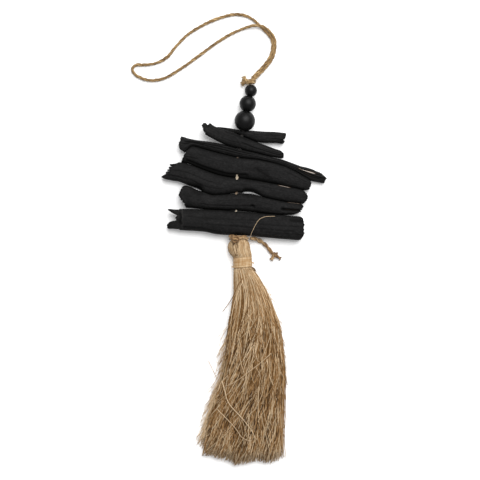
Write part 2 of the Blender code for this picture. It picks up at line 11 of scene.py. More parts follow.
import bpy
import numpy as np
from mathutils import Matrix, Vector


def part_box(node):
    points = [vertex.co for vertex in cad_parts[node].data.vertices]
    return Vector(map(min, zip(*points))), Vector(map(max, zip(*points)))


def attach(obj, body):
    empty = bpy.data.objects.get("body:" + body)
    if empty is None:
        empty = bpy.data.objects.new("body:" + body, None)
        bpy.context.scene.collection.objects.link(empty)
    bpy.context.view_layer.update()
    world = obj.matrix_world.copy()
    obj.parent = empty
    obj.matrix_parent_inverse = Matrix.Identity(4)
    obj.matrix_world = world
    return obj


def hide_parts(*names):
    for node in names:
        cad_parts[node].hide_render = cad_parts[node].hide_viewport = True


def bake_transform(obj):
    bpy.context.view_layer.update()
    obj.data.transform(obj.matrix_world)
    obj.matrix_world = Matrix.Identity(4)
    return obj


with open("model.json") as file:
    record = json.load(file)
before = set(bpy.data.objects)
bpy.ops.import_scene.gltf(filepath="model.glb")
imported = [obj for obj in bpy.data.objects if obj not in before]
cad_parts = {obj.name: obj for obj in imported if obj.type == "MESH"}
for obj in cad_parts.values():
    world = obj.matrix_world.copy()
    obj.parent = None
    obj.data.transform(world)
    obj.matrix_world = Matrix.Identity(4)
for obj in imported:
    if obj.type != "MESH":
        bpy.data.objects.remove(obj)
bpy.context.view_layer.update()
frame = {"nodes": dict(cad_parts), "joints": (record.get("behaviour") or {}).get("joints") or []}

MM = 0.001

# The photograph's frame: the point below its middle, how wide it is and at which height it is that
# wide. Then the camera's lens and sensor.
VIEW_MIDDLE = (-4.85, 29.6)
VIEW_WIDTH = 465.6
VIEW_PLANE = 6
LENS = 135
SENSOR = 36

# How thick the twine, the tail and the tie are.
TWINE = 3
TAIL_TWINE = 4.2
TIE_TWINE = 2.3

# The hanging loop, from the knot round and back to it. The first strand passes over the other.
LOOP_ROUTE = (
    (10.9, 186.4, 5.4), (14.3, 190.6, 3.2), (18.2, 194.3, 1.7), (22.5, 199.3, 1.5), (26.2, 204.6, 1.5),
    (28.6, 210.1, 1.5), (29.8, 215.7, 1.5), (30, 221.4, 1.5), (28.3, 227.2, 1.9), (23.9, 232.9, 3.4),
    (17.3, 236.9, 4.9), (8, 237.8, 4.2), (0.5, 235.9, 2.2), (-9, 232.2, 1.5), (-23.8, 223.9, 1.5),
    (-43.2, 210, 1.5), (-62.6, 196.1, 1.5), (-82, 185.9, 1.5), (-91.7, 184.8, 1.5), (-101.4, 187.4, 1.5),
    (-107.4, 191.2, 1.5), (-109.6, 195.6, 1.5), (-107, 199.3, 1.5), (-99, 199.9, 1.5), (-86, 201.8, 1.5),
    (-75.6, 207.6, 1.5), (-67, 218, 1.5), (-57, 228.2, 1.5), (-43.2, 237.3, 1.5), (-23.8, 245.8, 1.5),
    (-9.5, 249, 1.5), (2, 247.2, 1.5), (10.3, 242.2, 1.5), (16.2, 235.9, 1.5), (21.4, 230.3, 1.5),
    (25.1, 225.5, 1.5), (26.4, 221, 1.5), (26.2, 216.1, 1.5), (25.1, 211.1, 1.5), (22.8, 206.1, 1.5),
    (19.4, 201.2, 1.5), (15.2, 196.2, 2.2), (11, 191.6, 3.8), (7.6, 187.6, 5.6),
)

# The doubled tail of the tie, from the head to its end knot and on into the knot.
TAIL_ROUTE = (
    (5.1, 31.2, 7.6), (8.6, 31.1, 5.8), (12.4, 29.8, 3), (16.8, 27.4, 2.1), (20.9, 23.9, 2.1),
    (25.7, 17.8, 2.4), (27.8, 15, 2.9),
)

# The threaded cord, from the knot down to the tassel's head.
STRING_ROUTE = (
    (6.6, 179.8, 7), (5.7, 174.3, 7.6), (2.6, 161.5, 9), (-0.2, 144.9, 10.1), (-2.4, 133, 8.9),
    (-4.7, 123.7, 8), (-6.7, 113.4, 7.5), (-7.5, 99.4, 7.3), (-8, 82.4, 7.3), (-8.4, 66, 7.5),
    (-8.8, 45.6, 8), (-9, 33.7, 8.2),
)

# The body that the cords and the tassel belong to, and how far every piece stays off the floor.
HANGER = "hanger"
FLOOR_GAP = 0.02


# ---------------------------------------------------------------- numbers

def smooth_route(points, spacing):
    """Evenly spaced points on a smooth curve through the given ones."""
    points = np.array(points, float)
    chords = np.linalg.norm(np.diff(points, axis=0), axis=1)
    slopes = np.diff(points, axis=0) / chords[:, None]
    middle = slopes[:-1] * chords[1:, None] + slopes[1:] * chords[:-1, None]
    middle /= (chords[1:] + chords[:-1])[:, None]
    tangents = np.vstack((slopes[:1], middle, slopes[-1:]))
    fine = []
    for i, chord in enumerate(chords):
        for t in np.linspace(0, 1, 24, endpoint=False):
            start = (1 + 2 * t) * (1 - t) ** 2 * points[i] + t * (1 - t) ** 2 * chord * tangents[i]
            end = t * t * (3 - 2 * t) * points[i + 1] - t * t * (1 - t) * chord * tangents[i + 1]
            fine.append(start + end)
    fine.append(points[-1])
    fine = np.array(fine)
    run = run_of(fine)
    stops = np.linspace(0, run[-1], max(2, round(run[-1] / spacing)) + 1)
    return np.column_stack([np.interp(stops, run, fine[:, k]) for k in range(fine.shape[1])])


def run_of(path):
    """How far along a path each of its points lies."""
    return np.concatenate(([0], np.cumsum(np.linalg.norm(np.diff(path, axis=0), axis=1))))


def unit(values):
    """Values kept between 0 and 1."""
    return np.clip(values, 0, 1)


def bell(*parts):
    """A smooth bump, 1 where all parts are 0."""
    return np.exp(-sum(part ** 2 for part in parts))


def between(values, start, end, fade):
    """1 inside a range and 0 outside it, with faded ends."""
    return unit((values - start) / fade) * unit((end - values) / fade)


def at_place(table, places):
    """What a table of places and values gives at other places."""
    return np.interp(places, *zip(*table))


def hashed(x, y, z, seed):
    """A number from 0 to 1 for each point of a whole-number grid."""
    n = (x * 374761393 + y * 668265263 + z * 144269504 + seed * 974711) & 0xFFFFFFFF
    n = ((n ^ (n >> 13)) * 1274126177) & 0xFFFFFFFF
    n = ((n ^ (n >> 15)) * 461845907) & 0xFFFFFFFF
    return ((n ^ (n >> 16)) & 0xFFFFFF) / 0xFFFFFF


def noise(x, y=0, z=0, seed=0):
    """Smooth noise from -1 to 1 at each point, with one swing for each whole number."""
    x, y, z = np.broadcast_arrays(np.asarray(x, float), np.asarray(y, float), np.asarray(z, float))
    total = np.zeros(x.shape)
    cells = [np.floor(c).astype(np.int64) for c in (x, y, z)]
    parts = [c - whole for c, whole in zip((x, y, z), cells)]
    parts = [p * p * (3 - 2 * p) for p in parts]
    for i in (0, 1):
        for j in (0, 1):
            for k in (0, 1):
                weight = 1
                for part, corner in zip(parts, (i, j, k)):
                    weight = weight * (part if corner else 1 - part)
                total += weight * hashed(cells[0] + i, cells[1] + j, cells[2] + k, seed)
    return 2 * total - 1


def rough_noise(x, y=0, z=0, seed=0, octaves=3):
    """Noise with finer and weaker noise on it."""
    x, y, z = (np.asarray(c) for c in (x, y, z))
    total, weight, size = 0, 0, 1
    for k in range(octaves):
        scale = 2 ** k
        total = total + size * noise(x * scale, y * scale, z * scale, seed + k)
        weight += size
        size *= 0.5
    return total / weight


# ---------------------------------------------------------------- meshes

def placed(name, data):
    """A new object in the scene."""
    made = bpy.data.objects.new(name, data)
    bpy.context.scene.collection.objects.link(made)
    return made


class Pile:
    """Points, faces and a shade for each point, gathered for one mesh. Sizes are in millimetres."""

    def __init__(self):
        self.points, self.faces, self.shades, self.marks = [], [], [], []
        self.count = 0

    def add(self, points, faces, shade=0.5, mark=0):
        """More points and faces. Nothing goes below the floor."""
        points = np.array(points, float).reshape(-1, 3)
        points[:, 2] = np.maximum(points[:, 2], FLOOR_GAP)
        self.points.append(points)
        for kept, values in ((self.shades, shade), (self.marks, mark)):
            kept.append(np.broadcast_to(np.asarray(values, float).reshape(-1), (len(points),)))
        self.faces += [np.asarray(group, np.int64) + self.count for group in faces]
        self.count += len(points)

    def tube(self, points, shade, mark=0, flip=False):
        """Rings of points, skinned and capped. Flip turns the faces round."""
        rings, sides = points.shape[:2]
        cap = np.arange(sides)[None]
        groups = (ring_faces(rings, sides), cap[:, ::-1], cap + (rings - 1) * sides)
        self.add(points, [group[:, ::-1] for group in groups] if flip else groups, shade, mark)

    def build(self, name, material):
        """One mesh object of all that was added."""
        points = np.vstack(self.points) * MM
        corners = np.concatenate([group.ravel() for group in self.faces])
        sizes = np.concatenate([np.full(len(group), group.shape[1]) for group in self.faces])
        mesh = bpy.data.meshes.new(name)
        mesh.vertices.add(len(points))
        mesh.vertices.foreach_set("co", points.astype(np.float32).ravel())
        mesh.loops.add(len(corners))
        mesh.loops.foreach_set("vertex_index", corners.astype(np.int32))
        mesh.polygons.add(len(sizes))
        mesh.polygons.foreach_set("loop_start", (np.cumsum(sizes) - sizes).astype(np.int32))
        for label, values in (("shade", self.shades), ("mark", self.marks)):
            attribute = mesh.attributes.new(label, "FLOAT", "POINT")
            attribute.data.foreach_set("value", np.concatenate(values).astype(np.float32))
        mesh.update(calc_edges=True)
        mesh.validate()
        mesh.shade_smooth()
        mesh.materials.append(material)
        return placed(name, mesh)


def ring_faces(rings, sides, closed=False):
    """Quads that skin rings of points, one after another, and the last to the first if closed."""
    i = np.arange(rings if closed else rings - 1)[:, None]
    j = np.arange(sides)[None, :]
    after, beside = (i + 1) % rings, (j + 1) % sides
    quads = (i * sides + j, i * sides + beside, after * sides + beside, after * sides + j)
    return np.stack(np.broadcast_arrays(*quads), axis=-1).reshape(-1, 4)


def tangents(path):
    """Directions along a path, or along each of many paths."""
    return normed(np.gradient(path, axis=-2), 1e-9)


def normed(vectors, least=1e-6):
    """Vectors made one long."""
    return vectors / np.maximum(np.linalg.norm(vectors, axis=-1, keepdims=True), least)


def carried_frames(path):
    """Two directions square to the path at each point, carried along it without twist."""
    along = tangents(path)
    side = np.zeros_like(path)
    now = np.array((0, 0, 1), float)
    for i, t in enumerate(along):
        now = now - t * (now @ t)
        if np.linalg.norm(now) < 1e-3:
            now = np.cross(t, (1, 0, 0))
        now = now / np.linalg.norm(now)
        side[i] = now
    return side, np.cross(along, side)


def spoke(side, other, turn):
    """Directions at some turns from one direction towards another."""
    return side * np.cos(turn)[..., None] + other * np.sin(turn)[..., None]


def fibres(pile, paths, radius, shade, sides=3, flat=1):
    """Thin tubes along many paths of equal point count, with a radius and a shade for each path or point."""
    paths = np.asarray(paths, float)
    many, steps = paths.shape[:2]
    radius, shade = (
        np.broadcast_to(np.asarray(v, float).reshape(many, -1), (many, steps)) for v in (radius, shade)
    )
    along = tangents(paths)
    side = normed(np.cross(along, (0, 0, 1)))
    up = np.cross(side, along)
    turns = 2 * np.pi * (np.arange(sides) + 0.25) / sides
    reach = side[:, :, None] * np.cos(turns)[:, None] + flat * up[:, :, None] * np.sin(turns)[:, None]
    points = paths[:, :, None] + reach * radius[:, :, None, None]
    first = np.arange(many)[:, None, None] * steps * sides
    skins = (ring_faces(steps, sides)[None] + first).reshape(-1, 4)
    tip = np.arange(sides)[None, :] + first[:, 0]
    pile.add(points, (skins, tip[:, ::-1], tip + (steps - 1) * sides), np.repeat(shade.reshape(-1), sides))


def twist(pile, path, diameter, plies, pitch, seed, uneven=0.12, shade=0.5, fray=0, sides=12, mottle=1):
    """A twisted cord along a path: plies that wind round each other, each with fibre ridges.
    Its plies spread over the length fray at its end."""
    side, other = carried_frames(path)
    run = run_of(path)
    thick = diameter * (0.33 if plies == 2 else 0.27)
    swell = 1 + uneven * rough_noise(run / 9, seed=seed)
    if fray:
        swell = swell * (1 + 0.25 * unit(1 - (run[-1] - run) / fray))
    spots = np.arange(sides)[None]
    blunt = np.ones(len(path))
    blunt[[0, -1]] = 0.55
    for ply in range(plies):
        turn = 2 * np.pi * (ply / plies + run / pitch + 0.16 * noise(run / 21, seed=seed + 7))
        centre = path + spoke(side, other, turn) * ((diameter / 2 - thick * 0.94) * swell)[:, None]
        swirl = 2 * np.pi * spots / sides + 0.6 * turn[:, None]
        ridges = 1 + 0.2 * noise(run[:, None] / 7, spots * 5.3, ply, seed + 3)
        size = thick * swell[:, None] * ridges * blunt[:, None]
        streaks = noise(run[:, None] / 8, spots * 3.7, ply, seed + 5)
        patches = noise(run[:, None] / 4.5, ply * 7.1, 0, seed + 6)
        points = centre[:, None] + spoke(side[:, None], other[:, None], swirl) * size[..., None]
        pile.tube(points, shade + mottle * (0.3 * streaks + 0.22 * patches))


def fuzz(pile, path, diameter, count, length, seed, shade=0.6):
    """Short hairs that stand off a cord."""
    draw = np.random.default_rng(seed)
    side, other = carried_frames(path)
    at = draw.integers(1, len(path) - 1, count)
    out = spoke(side[at], other[at], draw.uniform(0, 2 * np.pi, count))
    lean = tangents(path)[at] * draw.choice((-1, 1), count)[:, None]
    size = length * draw.uniform(0.4, 1, count)[:, None]
    curl = np.cross(out, lean) * draw.uniform(-0.4, 0.4, count)[:, None]
    steps = np.linspace(0, 1, 4)[:, None]
    bend = lean[:, None] * steps + 0.45 * out[:, None] * steps ** 1.5 + curl[:, None] * steps ** 2
    paths = (path[at] + out * diameter * 0.42)[:, None] + size[:, None] * bend
    taper = 0.055 * np.array((1, 0.9, 0.7, 0.35))
    fibres(pile, paths, np.tile(taper, (count, 1)), shade + draw.uniform(-0.25, 0.25, count))


def frayed_end(pile, path, diameter, count, length, seed, shade=0.6):
    """Loose fibres that spread from a cut end."""
    draw = np.random.default_rng(seed)
    side, other = carried_frames(path)
    end, along = path[-1], tangents(path)[-1]
    away = spoke(side[-1], other[-1], draw.uniform(0, 2 * np.pi, count))
    out = draw.uniform(0.1, 1, count)[:, None] ** 0.5
    size = length * draw.uniform(0.35, 1, count)[:, None]
    steps = np.linspace(0, 1, 5)[:, None]
    start = end - along * 1.2 + away * out * diameter * 0.42
    paths = start[:, None] + (along + 0.35 * away * out)[:, None] * (size[:, None] + 1.2) * steps
    paths = paths + 0.5 * away[:, None] * steps ** 2 * out[:, None]
    taper = (0.16, 0.15, 0.13, 0.11, 0.06)
    fibres(pile, paths, np.tile(taper, (count, 1)), shade + draw.uniform(-0.3, 0.3, count))


# ---------------------------------------------------------------- materials

def new_material(name):
    """A new material, its node tree and the sockets of its shader."""
    made = bpy.data.materials.new(name)
    made.use_nodes = True
    return made, made.node_tree, made.node_tree.nodes["Principled BSDF"].inputs


def fill(tree, inputs, values):
    """Set sockets, or link them to other sockets."""
    for name, value in values.items():
        if isinstance(value, bpy.types.NodeSocket):
            tree.links.new(value, inputs[name])
        else:
            inputs[name].default_value = value


def node(tree, kind, values, operation=None):
    """The first output of a new node."""
    made = tree.nodes.new(kind)
    if operation:
        made.operation = operation
    fill(tree, made.inputs, values)
    return made.outputs[0]


def ramp(tree, source, stops):
    """Colours along a value from 0 to 1."""
    made = tree.nodes.new("ShaderNodeValToRGB")
    elements = made.color_ramp.elements
    while len(elements) < len(stops):
        elements.new(0.5)
    for element, (at, colour) in zip(elements, stops):
        element.position = at
        element.color = (*colour, 1)
    tree.links.new(source, made.inputs["Fac"])
    return made.outputs["Color"]


def blurred(tree, scale, size, detail=3, roughness=0.5):
    """Noise over the piece, stretched by scale, an axis at a time, in swings per millimetre."""
    coordinates = tree.nodes.new("ShaderNodeTexCoord").outputs["Object"]
    mapped = node(tree, "ShaderNodeMapping", {"Scale": scale, "Vector": coordinates})
    values = {"Vector": mapped, "Scale": size / MM, "Detail": detail, "Roughness": roughness}
    return node(tree, "ShaderNodeTexNoise", values)


def total(tree, *terms):
    """The sum of sockets, each times its factor."""
    result = 0
    for source, factor in terms:
        result = node(tree, "ShaderNodeMath", {0: source, 1: factor, 2: result}, "MULTIPLY_ADD")
    return result


def attribute(tree, label):
    """What Pile keeps for each point under a label."""
    made = tree.nodes.new("ShaderNodeAttribute")
    made.attribute_name = label
    return made.outputs["Fac"]


def ranged(tree, source, low, high, start=0, end=1):
    """A value stretched from one range to another."""
    values = {"Value": source, "From Min": start, "From Max": end, "To Min": low, "To Max": high}
    return node(tree, "ShaderNodeMapRange", values)


def bump(tree, height, strength, distance):
    """Normals of a rough surface, with its depth in millimetres."""
    return node(tree, "ShaderNodeBump", {"Strength": strength, "Distance": distance * MM, "Height": height})


def plant_fibre(name, stops, grain, roughness, sheen):
    """Dry plant fibre: its shade comes from the fibre, with streaks and specks along it."""
    made, tree, shader = new_material(name)
    streaks = blurred(tree, grain, 1)
    specks = blurred(tree, (1, 1, 1), 0.35, 2)
    shade = total(tree, (attribute(tree, "shade"), 1), (streaks, 0.5), (specks, 0.25))
    shift = node(tree, "ShaderNodeMath", {0: shade, 1: 0.375}, "SUBTRACT")
    fill(tree, shader, {
        "Base Color": ramp(tree, shift, stops),
        "Roughness": ranged(tree, streaks, roughness - 0.12, roughness + 0.1),
        "Specular IOR Level": 0.25,
        "Sheen Weight": sheen,
        "Sheen Roughness": 0.6,
        "Normal": bump(tree, streaks, 0.35, 0.15),
    })
    return made


def black_bark(name):
    """Bark stained black: dull, with grain along the stick, worn ridges and bare pale wood. Its marks
    also carry thin pale lines of painted light between sticks, and its shade carries painted shade.
    """
    made, tree, shader = new_material(name)
    grain = blurred(tree, (0.06, 1, 1), 1.3, 4, 0.6)
    patches = blurred(tree, (0.35, 1, 1), 0.12, 2)
    dust = blurred(tree, (0.5, 1, 1), 2.4, 2, 0.7)
    crumbs = blurred(tree, (0.7, 1, 1), 0.75, 3, 0.7)
    shade = attribute(tree, "shade")
    tone = total(tree, (shade, 1), (grain, 0.32), (patches, 0.5), (dust, 0.5), (crumbs, 1.5))
    stain = ramp(tree, node(tree, "ShaderNodeMath", {0: tone, 1: 1.41}, "SUBTRACT"), (
        (0, (0.0012, 0.0011, 0.0010)),
        (0.42, (0.0058, 0.0056, 0.0056)),
        (0.8, (0.0125, 0.012, 0.0118)),
        (1, (0.030, 0.028, 0.026)),
    ))
    # The marks' colours: bare wood, and the pale lines of painted light between sticks.
    wood = ramp(tree, attribute(tree, "mark"), (
        (0, (0.008, 0.0055, 0.0035)),
        (0.35, (0.045, 0.025, 0.014)),
        (0.7, (0.26, 0.22, 0.19)),
        (1, (0.72, 0.66, 0.60)),
    ))
    share = ranged(tree, attribute(tree, "mark"), 0, 1, 0.04, 0.2)
    mix = tree.nodes.new("ShaderNodeMix")
    mix.data_type = "RGBA"
    fill(tree, mix.inputs, {"Factor": share, 6: stain, 7: wood})
    fill(tree, shader, {
        "Base Color": mix.outputs[2],
        "Roughness": ranged(tree, grain, 0.62, 0.9),
        "Specular IOR Level": 0.16,
        "Normal": bump(tree, total(tree, (grain, 0.35), (dust, 0.3), (crumbs, 1.2)), 0.8, 0.5),
    })
    return made


def black_bead(name):
    """Turned wood under a black stain: a satin ball whose grain shows in its gloss."""
    made, tree, shader = new_material(name)
    grain = blurred(tree, (1, 0.16, 1), 0.9, 3, 0.55)
    mottle = blurred(tree, (1, 1, 1), 0.35, 2)
    tone = total(tree, (grain, 0.55), (mottle, 0.45))
    fill(tree, shader, {
        "Base Color": ramp(tree, tone, (
            (0.3, (0.0005, 0.0005, 0.0005)),
            (0.55, (0.0018, 0.0018, 0.0019)),
            (0.75, (0.006, 0.006, 0.0062)),
        )),
        "Roughness": ranged(tree, mottle, 0.36, 0.56),
        "Specular IOR Level": 0.2,
        "Normal": bump(tree, tone, 0.45, 0.16),
    })
    return made


JUTE = plant_fibre("twine", (
    (0, (0.006, 0.004, 0.003)),
    (0.12, (0.05, 0.028, 0.012)),
    (0.35, (0.165, 0.094, 0.034)),
    (0.65, (0.34, 0.215, 0.088)),
    (1, (0.60, 0.45, 0.24)),
), (0.25, 0.25, 1), 0.85, 0.15)
BROWN_JUTE = plant_fibre("brown twine", (
    (0, (0.035, 0.015, 0.006)),
    (0.35, (0.14, 0.07, 0.027)),
    (0.65, (0.30, 0.18, 0.08)),
    (1, (0.50, 0.35, 0.19)),
), (0.25, 0.25, 1), 0.85, 0.1)
WORN_JUTE = plant_fibre("worn twine", (
    (0, (0.006, 0.004, 0.003)),
    (0.12, (0.05, 0.030, 0.017)),
    (0.35, (0.165, 0.110, 0.068)),
    (0.65, (0.34, 0.27, 0.19)),
    (1, (0.62, 0.55, 0.43)),
), (0.25, 0.25, 1), 0.85, 0.15)
RAFFIA = plant_fibre("raffia", (
    (0, (0.033, 0.013, 0.0020)),
    (0.35, (0.150, 0.067, 0.0120)),
    (0.65, (0.358, 0.203, 0.083)),
    (0.8, (0.465, 0.335, 0.195)),
    (1, (0.67, 0.495, 0.31)),
), (1, 0.06, 1), 0.75, 0.04)
BARK = black_bark("black bark")
BEAD_WOOD = black_bead("black wood")


# ---------------------------------------------------------------- camera and cords

def place_camera():
    """A camera that looks straight down and takes in as much as the photograph does."""
    data = bpy.data.cameras.new("camera")
    data.sensor_width = SENSOR
    data.lens = LENS
    data.clip_start, data.clip_end = 0.05, 20
    camera = placed("camera", data)
    height = VIEW_WIDTH * LENS / SENSOR + VIEW_PLANE
    camera.location = (VIEW_MIDDLE[0] * MM, VIEW_MIDDLE[1] * MM, height * MM)
    bpy.context.scene.camera = camera


def finish_piece(piece, body, slot, *nodes):
    """Set a piece on its body and hide the solids that it stands for. The slot is not used."""
    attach(piece, body)
    if nodes:
        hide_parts(*nodes)
    return piece


def strand(pile, points, thick, pitch, seed, shade, plies=2, spacing=0.45, **more):
    """A twisted strand through a few points, and its path."""
    path = smooth_route(points, spacing)
    twist(pile, path, thick, plies, pitch, seed, shade=shade, **more)
    return path


def drawn_together(path, gap, limit):
    """A path with its own neighbouring runs pulled to a gap apart, where they are within a limit."""
    run = run_of(path)
    apart = np.linalg.norm(path[:, None] - path[None], axis=-1)
    apart[np.abs(run[:, None] - run[None]) < 30] = 1e3
    nearest = apart.argmin(axis=1)
    distance = apart[np.arange(len(path)), nearest]
    pull = np.clip(distance - gap, 0, 1.2) / 2 * unit((limit - distance) / 0.6)
    return path + softened(normed(path[nearest] - path) * pull[:, None], 8)


def hanging_loop():
    """One twine from the top knot round the loop and back, in three plies."""
    path = smooth_route(LOOP_ROUTE, 0.55)
    path[:, 2] = np.maximum(path[:, 2], TWINE / 2)
    drawn = drawn_together(path, 2.25, 4.6)
    pile = Pile()
    twist(pile, drawn, TWINE, 3, 17, seed=3, uneven=0.16, sides=10, mottle=0.75)
    fuzz(pile, drawn, TWINE, 1300, 2.6, seed=4)
    piece = finish_piece(pile.build("hanging_loop_twine", JUTE), HANGER, "twine", "hanging_loop")


def turned(points, seed, size):
    """Points with a small wander, so that no two turns lie quite alike."""
    shift = [noise(np.arange(len(points)) / 6, seed=seed + k) for k in range(3)]
    return np.asarray(points) + size * np.column_stack(shift)


def coil(centre, half_x, half_z, heights, start, end):
    """Points of an oval coil round the Y axis, from one turn to another."""
    angles = np.linspace(start, end, len(heights))
    x = centre[0] + half_x * np.cos(angles)
    return np.column_stack((x, heights, centre[1] + half_z * np.sin(angles)))


# The top knot's strands after its turns: points, thickness, seed and shade. Then its cut ends.
KNOT_STRANDS = (
    (((1.8, 182, 6.6), (3.4, 182.2, 8.4), (6, 183.3, 8.8), (8.6, 185.2, 7.4), (10.9, 187.2, 5.2)),
     3, 22, 0.55),
    (((4, 182.2, 3.6), (5.8, 184.4, 3.4), (7, 186.4, 4.6), (8.2, 188.4, 5.4)), 2.8, 23, 0.5),
)
KNOT_ENDS = (
    (((4, 183.8, 6), (1.6, 184.2, 6.4), (-0.2, 185.6, 6.4), (-1, 187.6, 6)), 3.5),
    (((4, 183, 5), (1, 182.8, 5), (-1.2, 182.2, 4.4), (-2.6, 181.2, 3.6)), 3.5),
    (((3, 183.6, 4.6), (0, 184, 4.8), (-2, 184.6, 4.4)), 2.6),
)


def top_knot():
    """The knot above the beads: its turns, two strands across them and the cut ends to the left."""
    pile = Pile()
    look = {"plies": 3, "sides": 10}
    turns = coil((5.4, 5.6), 3.9, 2.6, np.linspace(181.6, 184.6, 101), 2.4, 2.4 + 5 * np.pi)
    strand(pile, turned(turns, 8, 0.25), 2.9, 10, 21, 0.55, spacing=0.5, uneven=0.15, **look)
    for points, thick, seed, shade in KNOT_STRANDS:
        strand(pile, points, thick, 10, seed, shade, spacing=0.5, **look)
    for k, (points, thick) in enumerate(KNOT_ENDS):
        path = strand(pile, points, thick, 10, 24 + k, 0.56, fray=2.5, **look)
        frayed_end(pile, path, thick, 70, 1.3, seed=126 + k, shade=0.68)
        fuzz(pile, path, thick, 50, 1.8, seed=136 + k, shade=0.66)
    return finish_piece(pile.build("top_knot_twine", JUTE), HANGER, "twine", "top_knot")


# The tail's end knot: its turn, then its ends' points, thickness, pitch, seeds, shade and fraying.
TAIL_TURN = ((29.4, 16.6, 2.8), (28.2, 17, 4.6), (27, 15.8, 4.4), (27, 14.2, 2.8), (28.4, 13.6, 2),
             (29.6, 14.6, 2.8), (29, 15.8, 4.4))
TAIL_ENDS = (
    (((28, 15.4, 3.2), (27.4, 13.4, 2.8), (25.6, 10.6, 1.9)), 3.1, 11, (34, 36), 0.62, 2.5, (3.1, 46, 0.9)),
    (((28, 15.6, 3.4), (31, 13.8, 2.8), (34.4, 11.6, 1.9)), 3.1, 11, (35, 37), 0.4, 2.5, (3.1, 46, 0.9)),
    (((28.6, 15.6, 3.8), (30, 16.4, 3.8), (31.6, 17, 3.2)), 1.6, 6, (38, 39), 0.5, 2, (1.8, 20, 0.8)),
)


def tail_knot():
    """The knot at the end of the tie's tail."""
    pile = Pile()
    strand(pile, TAIL_TURN, 1.8, 8, 33, 0.42)
    for points, thick, pitch, seeds, shade, fray, loose in TAIL_ENDS:
        end = strand(pile, points, thick, pitch, seeds[0], shade, fray=fray)
        frayed_end(pile, end, *loose, seed=seeds[1], shade=shade)
    return finish_piece(pile.build("tail_knot_twine", BROWN_JUTE), HANGER, "twine", "tail_knot")


def tie_tail():
    """The doubled end of the tie, which lies to the right of the head, with its knot."""
    path = smooth_route(TAIL_ROUTE, 0.45)
    pile = Pile()
    shade = np.interp(path[:, 0], (8, 15, 24), (0.78, 0.72, 0.4))[:, None]
    twist(pile, path, 3.7, 2, 15, seed=31, uneven=0.16, shade=shade)
    fuzz(pile, path, TAIL_TWINE, 190, 2.4, seed=32)
    tail = finish_piece(pile.build("tie_tail_twine", BROWN_JUTE), HANGER, "twine", "tie_tail")
    tail_knot()


# The threaded cord's shade at each height: darkened where it lies in the sticks and the beads, as
# painted shade, and pale in two gaps.
STRING_SHADES = (
    (33, 0.1), (54.5, 0.1), (56, 0.9), (59.5, 0.9), (61, 0.1), (71, 0.1), (72.5, 0.45), (75, 0.45),
    (76.5, 0.1), (86.5, 0.1), (88, 0.88), (92.5, 0.88), (94, 0.1), (107.5, 0), (108.3, 0.3), (109.2, 0.3),
    (110, -0.4), (180, -0.4),
)


def threaded_cord():
    """The cord that the beads and the sticks are strung on."""
    path = smooth_route(STRING_ROUTE, 0.6)
    pile = Pile()
    shade = at_place(STRING_SHADES, path[:, 1])[:, None]
    twist(pile, path, TWINE, 2, 8.5, seed=41, uneven=0.15, shade=shade, mottle=0.4)
    finish_piece(pile.build("threaded_cord", WORN_JUTE), HANGER, "twine", "stringing_cord")


# ---------------------------------------------------------------- beads and sticks

def sliced(name, axis, stations):
    """Where planes across an axis cut a solid of the frame: its low and high edge, bottom and top."""
    mesh = frame["nodes"][name].data
    points = np.zeros(len(mesh.vertices) * 3)
    mesh.vertices.foreach_get("co", points)
    edges = np.zeros(len(mesh.edges) * 2, np.int64)
    mesh.edges.foreach_get("vertices", edges)
    ends = (points.reshape(-1, 3) / MM)[edges.reshape(-1, 2)]
    found = []
    for station in stations:
        gap = ends[:, :, axis] - station
        cut = gap[:, 0] * gap[:, 1] < 0
        share = gap[cut, 0] / (gap[cut, 0] - gap[cut, 1])
        at = ends[cut, 0] + share[:, None] * (ends[cut, 1] - ends[cut, 0])
        found.append([pick(at[:, k]) for k in (1 - axis, 2) for pick in (np.min, np.max)])
    return np.array(found)


def softened(values, reach):
    """Values with each one's neighbours mixed in."""
    weights = np.exp(-0.5 * (np.arange(-3 * reach, 3 * reach + 1) / reach) ** 2)
    padded = np.pad(values, ((3 * reach, 3 * reach), (0, 0)), mode="edge")
    columns = [np.convolve(padded[:, k], weights / weights.sum(), "valid") for k in range(values.shape[1])]
    return np.column_stack(columns)


def joint_of(body):
    """The joint that a body turns on."""
    return next(j for j in frame["joints"] if j["child"] == body)


# The beads' diameters and their holes, how far their skin goes round to the lips of the hole, how
# big the lips are, and how many sides a bead has.
BEADS = {"bead_small": (12, 4.4), "bead_medium": (16, 4.8), "bead_large": (20, 5.4)}
BEAD_REACH = math.asin(0.905)
BEAD_LIP = 0.7
BEAD_SIDES = 72


def bead_profile(radius, inner):
    """A bead's outline from one lip over its skin to the other and back through the hole."""
    edge = radius * math.sin(BEAD_REACH)
    skin = [(radius * math.cos(a), radius * math.sin(a)) for a in np.linspace(-BEAD_REACH, BEAD_REACH, 45)]
    lip = [(inner + BEAD_LIP * (1 - math.sin(a)), edge - BEAD_LIP * (1 - math.cos(a)))
           for a in np.linspace(0.25, 1.57, 5)]
    bore = [(inner, edge * k) for k in (0.5, 0, -0.5)]
    return np.array(skin + lip + bore + [(out, -up) for out, up in reversed(lip)])


def bead(name, diameter, hole):
    """A turned ball with rounded lips at the ends of the cord's hole."""
    joint = joint_of(name)
    axis = np.array(joint["axis"])
    axis /= np.linalg.norm(axis)
    side = np.cross(axis, (0, 0, 1))
    side /= np.linalg.norm(side)
    profile = bead_profile(diameter / 2, hole / 2)[:, None]
    turns = 2 * np.pi * np.arange(BEAD_SIDES) / BEAD_SIDES
    wear = noise(profile[..., 1] / 3, np.cos(turns)[None] * 2 + 5, np.sin(turns)[None] * 2 + 5, seed=diameter)
    out = spoke(side, np.cross(axis, side), turns)[None] * (profile[..., :1] * (1 + 0.004 * wear)[..., None])
    points = np.array(joint["pos_m"]) / MM + out + axis * profile[..., 1:]
    pile = Pile()
    pile.add(points, (ring_faces(len(points), BEAD_SIDES, closed=True),))
    finish_piece(pile.build(name + "_turned", BEAD_WOOD), name, "black_wood", name)


